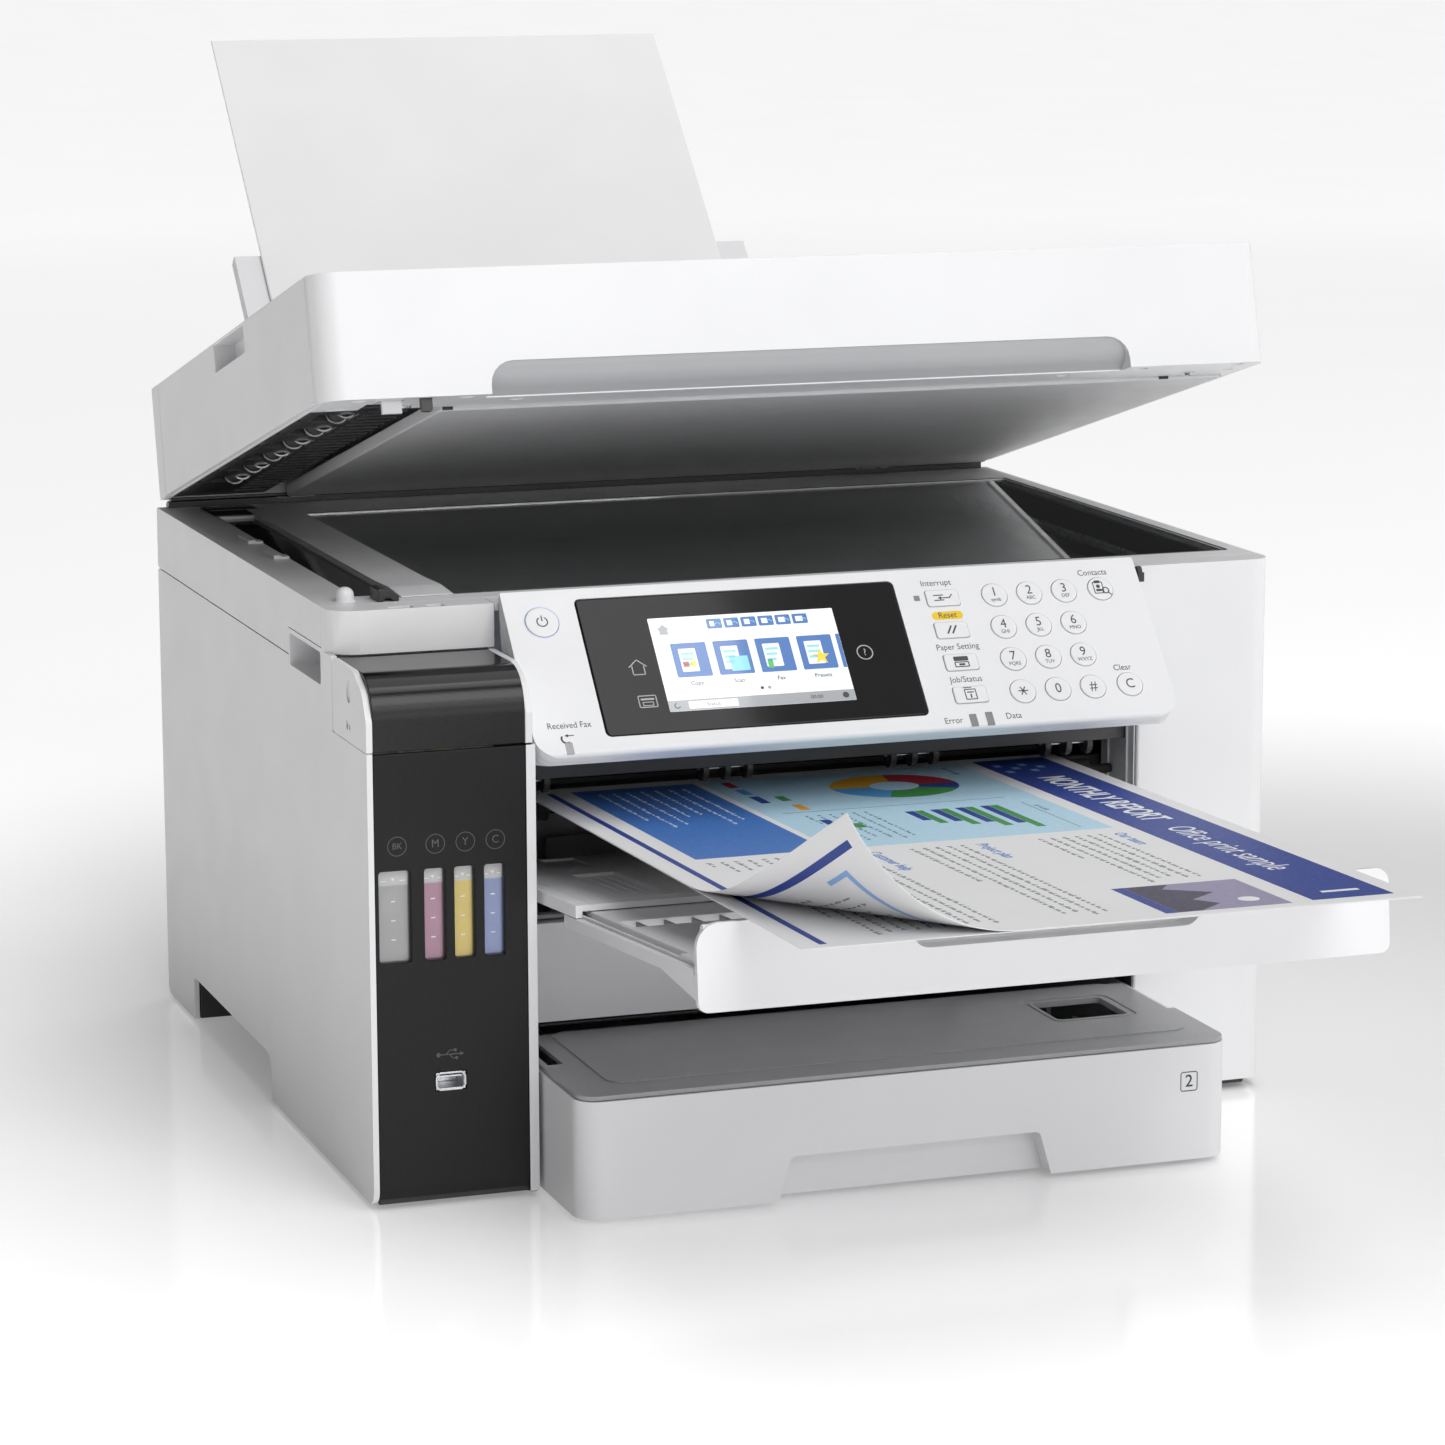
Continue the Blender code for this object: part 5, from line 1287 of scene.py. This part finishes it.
# ---- cassettes ----
def paper_guides(rear, heights):
    """Fences at the paper's sides and behind it."""
    sides = [block(span, (90, 330), heights) for span in ((-140, -137), (140, 143))]
    return [*sides, block((-60, 60), (rear, rear + 3), heights)]


def cassettes():
    """Both cassettes, the grey cover of the lower one and the fences inside."""
    finish_node("cassette_1", CASSETTE, "upper_cassette", "light_grey", 1.0, 3)
    finish_node("cassette_2", CASSETTE, "lower_cassette", "light_grey", 1.2, 3)
    cover = oblong(-168.4, -56.6, 177.4, 65.8, 10.0, 10)
    window = oblong(108.0, 1.0, 149.0, 41.0, 4.0, 8)
    notches = [block(span, (8.0, 70.0), (60, 70)) for span in ((-165.0, -157.0), (173.0, 180.0))]
    lid = carve(prism(cover, "xy", 63.0, 65.2), prism(window, "xy", 60, 70), *notches)
    grey = moulded("cassette_cover_grey", (0.36, 0.362, 0.37), 0.36, 0.46, 0.6, 0.02)
    on_lower_cassette("cassette_2_cover_plate", lid, grey, "light_grey", 0.4, 3, ("cassette_2_cover",))
    raised = plate(-147.0, -36.4, 165.0, 66.0, 9.0, 65.0, 65.9, steps=10)
    raised = carve(raised, plate(104.0, -3.0, 153.0, 45.0, 7.0, 60, 70, steps=8))
    on_lower_cassette("cassette_2_cover_step", raised, grey, "light_grey", 0.35, 3)
    edging = rim(107.0, 0.0, 150.0, 42.0, 5.0, 2.0, 3.0, 62.4, 65.95, steps=8)
    on_lower_cassette("cassette_2_window_rim", edging, grey, "light_grey", 0.4, 3)
    well = [
        block((109.4, 147.6), (2.4, 39.6), (50.0, 51.0)), block((112.0, 120.0), (10.0, 34.0), (51.0, 55.0)),
        block((130.0, 133.0), (6.0, 36.0), (51.0, 58.0)),
    ]
    on_lower_cassette("cassette_2_well", well, DARK, "dark_plastic", 0.4, 2)
    number = plain("cassette_number", (0.04, 0.04, 0.045), 0.4)
    square = [
        frame_of(150.4, 39.0, 160.0, 49.4, 0.55, -0.05, 1.4), word("2", 9.0, 155.2, 44.2, -0.05, weight=0.08),
    ]
    forms = [upright(form) for form in square]
    for form in forms:
        form.transform(Matrix.Translation((0, -58.02, 0)))
    on_lower_cassette("cassette_number", forms, number)
    slide = moulded("paper_guide", (0.32, 0.32, 0.33), 0.4, 0.5)
    on_upper_cassette("cassette_1_guides", paper_guides(352, (76, 104)), slide, "light_grey", 0.6, 2)
    on_lower_cassette("cassette_2_guides", paper_guides(346, (7, 56)), slide, "light_grey", 0.6, 2)



# ---- scanner ----
GLASS = (-184.5, 102.0, 247.0, 408.0)
DOME_AT, HOOK_X, HOOK_Y = (-241.6, 98.0), (-227.0, -216.0), (87.0, 103.4)


def scanner():
    """Housing, glass and what lies round and under it."""
    finish_node("scanner_housing", WHITE, "scanner_unit", "body_white", 0.9, 3)
    finish_node("scanner_glass", PANE, "scanner_unit", "window_glass", 0.3)
    u0, v0, u1, v1 = GLASS
    gasket = rim(u0 - 1.4, v0 - 1.4, u1 + 1.4, v1 + 1.4, 2.4, 1.2, 1.4, 289.7, 290.25)
    on_scanner("glass_gasket", gasket, BLACK_PLASTIC, "dark_plastic", 0.15, 2)
    floor_plate = plate(-221.4, 90.2, 240.4, 454.4, 3.0, 258.5, 259.4)
    ribs = [block((x, x + 1.6), (92.0, 452.0), (259.2, 260.4)) for x in (-168.0, -120.0, 60.0, 140.0, 200.0)]
    ribs += [block((-219.0, 238.0), (y, y + 1.6), (259.2, 260.2)) for y in (150.0, 230.0, 310.0, 390.0)]
    well = moulded("scanner_well_grey", (0.4, 0.402, 0.41), 0.45, 0.6, 0.8, 0.03)
    on_scanner("scanner_well_floor", fuse(floor_plate, *ribs), well, "dark_plastic", 0.3, 2)
    lining = rim(-221.7, 89.8, 240.7, 454.7, 3.2, 0.8, 2.6, 259.6, 284.6)
    on_scanner("scanner_well_lining", lining, DARK, "dark_plastic", 0.2, 2)
    lip = band(
        oblong(u0 + 0.3, v0 + 0.3, u1 - 0.3, v1 - 0.3, 1.2),
        oblong(u0 + 7.0, v0 + 6.0, u1 - 7.0, v1 - 6.0, 3.0),
        "xy", 285.2, 286.1,
    )
    on_scanner("glass_seat_lip", lip, MID_GREY, "dark_plastic", 0.2, 2)
    rod = bar(2.2, (236.0, 91.0, 271.0), (236.0, 453.5, 271.0), 24)
    on_scanner("scan_guide_rod", rod, STEEL, "steel", 0.3, 2)
    scan_bar()

    strip = plate(-232.7, 110.3, -212.9, 411.7, 1.2, 286.6, 288.4)
    on_scanner("feeder_scan_glass", strip, GLOSS_BLACK, "window_glass", 0.25, 2)
    lip = [
        (98.0, 290.2, 0), (98.0, 290.7, 0), (119.0, 292.0, 0.6), (122.0, 292.1, 0.6), (150.0, 291.3, 8),
        (430.0, 291.2, 0.6), (430.0, 290.2, 0),
    ]
    on_scanner("glass_guide_bar", prism(rounded(lip, 5), "yz", -212.4, -184.9), WHITE, "light_grey", 0.4, 3)
    seams = [block((-212.3, -207.0), (y, y + 0.5), (291.2, 291.26)) for y in (206.0, 260.0, 315.0)]
    on_scanner("guide_bar_ticks", seams, plain("tick_grey", (0.3, 0.3, 0.31), 0.5))
    cradle = fuse(
        plate(-235.0, 414.0, -205.0, 451.0, 1.5, 290.05, 290.5),
        block((-233.0, -207.0), (433.0, 435.0), (290.3, 291.1)),
        block((-233.0, -207.0), (444.0, 446.0), (290.3, 291.1)),
    )
    on_scanner("feeder_rear_cradle", cradle, DARK, "dark_plastic", 0.2, 2)
    for i, low in enumerate((245.6, 304.0), 1):
        stem = block((-241.8, -238.0), (low, low + 23.0), (290.0, 292.0))
        tab = fuse(stem, block((-241.8, -233.3), (low, low + 8.0), (290.0, 291.2)))
        on_scanner(f"feeder_tab_{i}", tab, SOFT_WHITE, "body_white", 0.3, 3)
    ledge = rounded([
        (456.4, 289.9, 0), (463.4, 289.9, 0), (463.4, 292.4, 1.4), (460.0, 293.8, 1.4), (456.4, 293.8, 0.6),
    ], 4)
    on_scanner("hinge_ledge", prism(ledge, "yz", -252.0, 252.0), BLACK_PLASTIC, "dark_plastic", 0.3, 2)
    x, y = DOME_AT
    dome = lathe([
        (0, 289.9), (5.4, 289.9), (5.4, 290.6), (4.7, 290.9), (4.6, 293.4),
        *((4.6 * cos(radians(a)), 293.4 + 3.8 * sin(radians(a))) for a in range(15, 90, 15)), (0, 297.2),
    ], x, y)
    on_scanner("lid_sensor_dome", dome, WHITE, "body_white", 0.0, 1, (), 60)
    left, right = HOOK_X
    hook = prism(rounded([
        (left, 290.1, 0), (left, 296.4, 0.8), (left + 3.4, 296.6, 0.8), (right, 293.2, 0.8),
        (right, 290.1, 0),
        (right - 3.0, 290.1, 0), (right - 4.5, 291.6, 1), (left + 4.0, 291.6, 1), (left + 2.6, 290.1, 0),
    ], 4), "xz", HOOK_Y[0] + 1.0, HOOK_Y[1])
    on_scanner("lid_hook", hook, BLACK_PLASTIC, "dark_plastic", 0.4, 3)
    ticks = [tile(x, v1 + 2.6, x + 0.35, v1 + 4.6, 290.0) for x in range(-170, 240, 24)]
    corner_arrow = [(u0 - 2.2, v1 + 2.2), (u0 - 8.0, v1 + 2.6), (u0 - 2.6, v1 + 8.0)]
    ticks.append(prism(corner_arrow, "xy", 290.0, 290.05))
    on_scanner("glass_scale", ticks, plain("scale_grey", (0.12, 0.12, 0.125), 0.5))


def scan_bar():
    """The lamp and sensor beam that travels under the glass."""
    beam = prism(rounded([
        (-215.6, 262.3, 2), (-184.4, 262.3, 2), (-184.4, 277.0, 3), (-190, 280.6, 2), (-210, 280.6, 2),
        (-215.6, 277.0, 3),
    ], 5), "xz", 105.3, 434.7)
    groove = plate(-204.0, 112.0, -195.0, 428.0, 2.0, 278.6, 290.0)
    on_scan_bar("scan_beam", carve(beam, groove), BLACK_PLASTIC, "dark_plastic", 0.5, 3, ("scan_bar",))
    lens = plate(-203.4, 113.0, -199.8, 427.0, 1.0, 278.4, 279.6)
    on_scan_bar("scan_lens_array", lens, PANE, "window_glass", 0.2, 2)
    lamp = plate(-199.2, 113.0, -195.6, 427.0, 1.0, 278.4, 279.9)
    pale = plain("lamp_guide_white", (0.7, 0.72, 0.74), 0.2, 0.0, 0.6)
    on_scan_bar("scan_lamp_guide", lamp, pale, "body_white", 0.3, 2)


# ---- lid: y back from the hinge, z up, drawn shut ----
def lid():
    """Lid shell with its grip, the pressing pad and the feeder track seen from below."""
    form = from_node("lid_housing")
    form.transform(LID.inverted() @ BODY)
    dome_x, dome_y = DOME_AT[0], DOME_AT[1] - LID_HINGE_Y
    hook_y = [value - LID_HINGE_Y for value in HOOK_Y]
    front = -400.8
    scoop = prism(rounded([
        (front + 13.4, 17.2, 0), (front + 0.9, 17.2, 0), (front + 1.5, 14.0, 3), (front + 4.6, 6.4, 14),
        (front + 13.4, 0.4, 0),
    ], 10), "yz", -169.4, 179.4)
    tools = [
        post(6.4, dome_x, dome_y, -4.0, 14.0, 40),
        block((HOOK_X[0] - 1.6, HOOK_X[1] + 1.6), (hook_y[0] - 2.0, hook_y[1] + 3.0), (-4.0, 7.5)),
    ]
    dimples = (
        (-236.0, -393.5), (-180.0, -393.5), (-150.0, -379.0), (150.0, -379.0), (189.0, -391.0),
        (243.0, -394.0), (246.0, -375.0),
    )
    tools += [post(3.6, x, y, -1.0, 0.5) for x, y in dimples]
    # Painted shade: the scoop is the lid's own white plastic, given a darker grey to stand for the shade
    # inside the recess.
    grip_painted_shade = moulded("grip_painted_shade", (0.40, 0.40, 0.41), 0.36, 0.46)
    on_lid("lid_grip_scoop", scoop, grip_painted_shade, "body_white", 0.3, 3)
    on_lid("lid_shell", carve(form, *tools), WHITE, "body_white", 1.3, 4, ("lid_housing",))
    finish_node("adf_cover", WHITE, "feeder_cover", "body_white", 0.8, 3)
    finish_node("adf_input_flap", WHITE, "feeder_flap", "body_white", 0.7, 3)
    finish_node("lid_hinge_bar", STEEL, "document_lid", "steel", 0.3)
    backing = plate(-184.4, -358.0, 250.0, -16.0, 2.0, -1.5, 5.0, steps=6)
    on_lid("pad_backing", backing, SOFT_WHITE, "mat_foam", 0.5, 3, ("document_mat",))
    film = plate(-183.9, -357.5, 249.5, -16.5, 1.6, -1.88, -1.45, steps=6)
    on_lid("pressing_pad", film, pad_film(), "mat_foam", 0.12, 2)
    clips = merge(*(block((x, x + 5.5), (-358.5, -357.6), (-1.4, 0.6)) for x in (-183.4, 214.0)))
    on_lid("pad_clips", clips, BLACK_PLASTIC, "dark_plastic", 0.15, 2)

    path = from_node("adf_paper_path")
    path.transform(LID.inverted() @ BODY)
    on_lid("feeder_track", path, BLACK_PLASTIC, "dark_plastic", 0.5, 3, ("adf_paper_path",))
    rollers, rims = [], []
    for y in range(-327, -60, 48):
        roller = lathe([(0, -9.0), (4.6, -9.0), (5.4, -8.2), (5.4, 8.2), (4.6, 9.0), (0, 9.0)], 0, 0, 32)
        rollers.append(roller)
        roller.transform(Matrix.Translation((-228.0, y, 5.8)) @ Matrix.Rotation(radians(90), 4, "X"))
        for end in (-10.0, 9.4):
            outer, inner = ring(-228.0, 5.6, 6.3, 40), ring(-228.0, 5.6, 5.5, 40)
            rims.append(band(outer, inner, "xz", y + end, y + end + 0.6))
    rims.append(bar(1.5, (-228.0, -354.0, 5.8), (-228.0, -24.0, 5.8)))
    on_lid("feeder_rollers", rollers, rubber(), "roller_rubber", 0.0, 1)
    on_lid("feeder_roller_shaft", rims, STEEL, "steel", 0.0, 1)
    guard = plate(-252.0, -358.0, -246.4, -20.0, 0.8, 0.5, 1.3, steps=3)
    gaps = [block((-251.0, -249.0), (y, y + 21.0), (0.0, 3.0)) for y in range(-345, -40, 48)]
    louvres = [block((-219.0, -199.0), (y, y + 1.4), (0.3, 1.2)) for y in range(-348, -30, 12)]
    on_lid("feeder_edge_guard", [carve(guard, *gaps), *louvres], DARK, "dark_plastic", 0.12, 2)
    tab = fuse(
        block((-225.2, -215.2), (-397.2, -394.6), (-7.2, 0.4)),
        plate(-227.0, -398.0, -213.4, -388.0, 1.0, -0.7, 0.3, steps=3),
    )
    on_lid("lid_white_tab", tab, LIGHT_GREY, "body_white", 0.5, 3)
    latch = rounded([(-205.4, 0.3, 0), (-205.4, -7.0, 1.6), (-199.2, -7.0, 1.6), (-199.2, 0.3, 0)], 4)
    latch = prism(latch, "xz", -397.2, -394.6)
    on_lid("lid_black_tab", latch, BLACK_PLASTIC, "dark_plastic", 0.3, 3)
    seal = rounded([(-16.0, -1.5, 0.6), (-10.2, -1.5, 0.6), (-10.2, 0.3, 0), (-16.0, 0.3, 0)], 3)
    seal = prism(seal, "yz", -252.0, 252.0)
    on_lid("lid_rear_seal", seal, BLACK_PLASTIC, "dark_plastic", 0.3, 2)
    screws("lid_screws", [(-206.0, -370.0, 0.0), (228.0, -368.0, 0.0)], LID, "document_lid", down=True)


def pad_film():
    """White film with a faint weave, that presses the original flat."""
    made = Finish("pad_film", (0.62, 0.62, 0.63), 0.5).tint(40.0, 0.02).rough(0.42, 0.55, 12.0)
    weave = made.noise(0.8, 2.0)
    made.bump(made.math("ADD", weave, made.math("MULTIPLY", made.noise(70.0, 1.0), 4.0)), 0.03)
    return made.material


def screws(name, spots, where, body, down=False, turn=None):
    """Cross-head screws, pointing down by default or turned to face another way."""
    forms = []
    for x, y, z in spots:
        head = lathe([(0, -0.6), (3.1, -0.6), (3.1, 0.5), (2.5, 1.3), (0, 1.6)], 0, 0, 28)
        slots = [block((-2.0, 2.0), (-0.35, 0.35), (0.6, 3.0)), block((-0.35, 0.35), (-2.0, 2.0), (0.6, 3.0))]
        head = carve(head, *slots)
        spin = Matrix.Rotation(pi, 4, "X") if down else (turn or Matrix.Identity(4))
        head.transform(Matrix.Translation((x, y, z)) @ spin @ Matrix.Rotation(0.7 + x, 4, "Z"))
        forms.append(head)
    return piece(where, body, name, forms, STEEL, "steel")


# ---- body shell, bay and back ----
def shell():
    """Chassis, side covers, feet and the fixed parts round them."""
    finish_node("base_frame", DARK, "print_unit", "dark_plastic", 0.8, 2)
    tab_slots = ((-226.4, -214.0), (-206.6, -198.0))
    slots = [plate(low, 66.6, high, 73.0, 1.0, 284.0, 291.0, steps=3) for low, high in tab_slots]
    side = carve(from_node("left_side_cover"), *slots)
    on_unit("left_side_shell", side, WHITE, "body_white", 0.8, 3, ("left_side_cover",))
    finish_node("right_side_cover", WHITE, "print_unit", "body_white", 0.8, 3)
    finish_node("panel_mount_frame", WHITE, "print_unit", "body_white", 0.6, 3)
    foot = [(0, 0.0), (8.2, 0.0), (9.0, 0.8), (9.0, 3.4), (0, 3.4)]
    feet = [lathe(foot, x, y, 40) for x, y in ((-225, 32), (-225, 430), (222, 100), (222, 430))]
    on_unit("rubber_feet", feet, rubber(), "roller_rubber", 0.0, 1)
    for side, (x_in, x_out) in (("left", (-235.6, -236.4)), ("right", (247.6, 248.4))):
        floor_pad = prism(oblong(90.0, 252.6, 148.0, 264.4, 4.0), "yz", *sorted((x_in, x_out)))
        on_unit(f"grip_pad_{side}", floor_pad, SOFT_WHITE, "body_white", 0.3, 2)
    hinge = [bar(2.6, (x, 59.0, 288.4), (x + 3.0, 59.0, 288.4), 24) for x in (174.6,)]
    hinge.append(block((174.8, 178.6), (56.0, 66.0), (283.0, 288.0)))
    on_unit("panel_hinge_right", hinge, BLACK_PLASTIC, "dark_plastic", 0.4, 2)
    bay()
    back()


def rubber():
    """Matt black rubber."""
    made = Finish("rubber", (0.018, 0.018, 0.018), 0.8).rough(0.7, 0.9, 2.0)
    made.bump(made.noise(0.3, 2.0), 0.02)
    return made.material


def bay():
    """The paper's way out: platen, rollers, star wheels, head and what shows around them."""
    finish_node("platen", DARK, "print_unit", "dark_plastic", 0.3)
    finish_node("carriage_rail", STEEL, "print_unit", "steel", 0.5, 3)
    wheel_grey = moulded("wheel_bar_grey", (0.05, 0.05, 0.053), 0.4, 0.5)
    finish_node("star_wheel_bar", wheel_grey, "print_unit", "dark_plastic", 0.3)
    finish_node("discharge_roller", rubber(), "roller", "roller_rubber", 0.4, 2)
    spikes = []
    for group in (-152.0, -42.0, 62.0, 150.0):
        for x in (group - 12.0, group, group + 12.0):
            points = []
            for i in range(36):
                radius = 6.4 if i % 2 else 5.2
                points.append((92.0 + radius * cos(pi * i / 18), 192.4 + radius * sin(pi * i / 18)))
            spikes.append(prism(points, "yz", x - 0.25, x + 0.25))
        spikes.append(bar(0.7, (group - 15.0, 92.0, 192.4), (group + 15.0, 92.0, 192.4), 12))
    on_unit("star_wheels", spikes, STEEL, "steel")
    head = from_node("print_head")
    piece(BODY, "carriage", "print_head_case", head, BLACK_PLASTIC, "dark_plastic", 1.4, 4, ("print_head",))
    belt = [block((-166.0, 172.0), (258.6, 259.6), (z, z + 0.9)) for z in (214.0, 222.0)]
    on_unit("carriage_belt", belt, rubber(), "roller_rubber", 0.2, 1)
    encoder = plate(-168.0, 232.0, 174.0, 238.0, 0.6, 259.6, 259.9, "xz")
    on_unit("encoder_strip", encoder, PANE, "window_glass", 0.0)
    wall = block((178.7, 179.4), (67.0, 109.0), (127.0, 243.0))
    ribs = [block((177.6, 179.0), (y, y + 1.4), (132.0, 240.0)) for y in (74.0, 98.0)]
    on_unit("bay_wall_right", fuse(wall, *ribs), SOFT_WHITE, "body_white", 0.2, 2)
    trim = [(-177.0, 0.08), (-172.2, 0.08), (-172.2, 64.6), (-172.9, 64.6), (-172.9, 0.36), (-177.0, 0.36)]
    on_unit("tank_unit_trim", prism(trim, "xy", 3.6, 230.0), WHITE, "body_white", 0.12, 2)
    slats = [block((x, x + 1.6), (70.0, 74.5), (126.0, 134.0)) for x in range(-160, 176, 28)]
    ledge = plate(-170.0, 70.0, 176.6, 76.0, 1.5, 125.0, 127.0)
    on_unit("bay_sill", fuse(ledge, *slats), MID_GREY, "dark_plastic", 0.4, 2)


def back():
    """Rear cover with its vents, sockets and screws."""
    cover = from_node("rear_cover")
    vents = [
        plate(x, z, x + 84.0, z + 2.4, 1.1, 498.0, 503.0, "xz", steps=4)
        for x in (-150.0, -50.0, 50.0) for z in range(60, 150, 6)
    ]
    sockets = {
        "lan": (204.0, 52.0, 220.0, 66.0), "line": (224.0, 52.0, 236.0, 62.0),
        "extension": (224.0, 68.0, 236.0, 78.0), "host": (205.0, 74.0, 217.0, 85.0),
    }
    holes = [prism(oblong(*spot, 0.8, 3), "xz", 455.0, 470.0) for spot in sockets.values()]
    on_unit("rear_cover_shell", carve(cover, *vents, *holes), WHITE, "body_white", 0.7, 3, ("rear_cover",))
    for name, (u0, v0, u1, v1) in sockets.items():
        sleeve = rim(u0 + 0.1, v0 + 0.1, u1 - 0.1, v1 - 0.1, 0.8, 1.0, 0.4, 456.0, 463.6, "xz", 3)
        metal = STEEL if name in ("lan", "host") else BLACK_PLASTIC
        on_unit(f"socket_{name}_shell", sleeve, metal, "steel", 0.15, 2)
        core = fuse(
            block((u0 + 1.0, u1 - 1.0), (455.6, 457.0), (v0 + 1.0, v1 - 1.0)),
            block((u0 + 3.4, u1 - 3.4), (456.6, 461.5), (v0 + 3.6, v1 - 4.4)),
        )
        on_unit(f"socket_{name}_core", core, BLACK_PLASTIC, "dark_plastic", 0.2, 2)
    inlet = carve(
        plate(-236.6, 57.4, -207.4, 80.6, 2.0, 452.0, 464.4, "xz", steps=5),
        plate(-231.0, 63.0, -213.0, 75.0, 4.0, 455.0, 470.0, "xz", 8),
    )
    on_unit("mains_inlet", inlet, BLACK_PLASTIC, "dark_plastic", 0.4, 3)
    pins = [bar(1.5, (x, 455.0, 69.0), (x, 463.0, 69.0), 20) for x in (-226.0, -218.0)]
    on_unit("mains_pins", pins, STEEL, "steel", 0.3, 2)
    label = plate(-246.0, 100.0, -206.0, 130.0, 1.5, 463.9, 464.2, "xz")
    on_unit("rating_plate", label, plain("plate_silver", (0.55, 0.55, 0.56), 0.35), "light_grey")
    facing_back = Matrix.Rotation(radians(-90), 4, "X")
    spots = [(x, 464.0, z) for x in (-244.0, 244.0) for z in (20.0, 150.0, 240.0)]
    screws("rear_screws", spots, BODY, "print_unit", turn=facing_back)


def rear_feed():
    """Support, extension, edge guides and the blank sheets; y runs up the slope and z out of the face."""
    finish_node("paper_support", LIGHT_GREY, "support", "light_grey", 0.6, 3)
    finish_node("paper_support_extension", SOFT_WHITE, "support_extension", "light_grey", 0.5, 3)
    for name, x, sign in (("left", -155.2, -1), ("right", 152.2, 1)):
        profile = [(112, 3.0, 0), (152, 3.0, 0), (152, 4.6, 1), (146, 9.0, 3), (118, 9.0, 3), (112, 6.0, 1)]
        fence = prism(rounded(profile, 6), "yz", *sorted((x, x + sign * 2.4)))
        foot = block(sorted((x, x - sign * 5.0)), (114, 150), (3.0, 4.2))
        form, body = fuse(fence, foot), "support_extension"
        piece(FEED, body, f"edge_guide_{name}", form, SOFT_WHITE, "light_grey", 0.4, 3)
    for i, (low, high) in enumerate(((4.62, 4.85), (4.90, 5.12), (5.17, 5.38)), 1):
        slip = 0.5 * i
        corners = [
            (-150.0 + slip, -20.0), (147.0, -20.0), (147.0 - slip, 400.0),
            (-150.0 + slip * 0.4, 400.0 - slip * 0.2),
        ]
        form = prism(corners, "xy", low, high)
        stands = ("loaded_sheet",) if i == 1 else ()
        piece(FEED, "blank_sheet", f"blank_sheet_{i}", form, PAPER, "paper", 0.0, 1, stands)


studio()
photographer()
shell()
ink_unit()
control_panel()
scanner()
lid()
rear_feed()
printed_sheets()
output_tray()
cassettes()
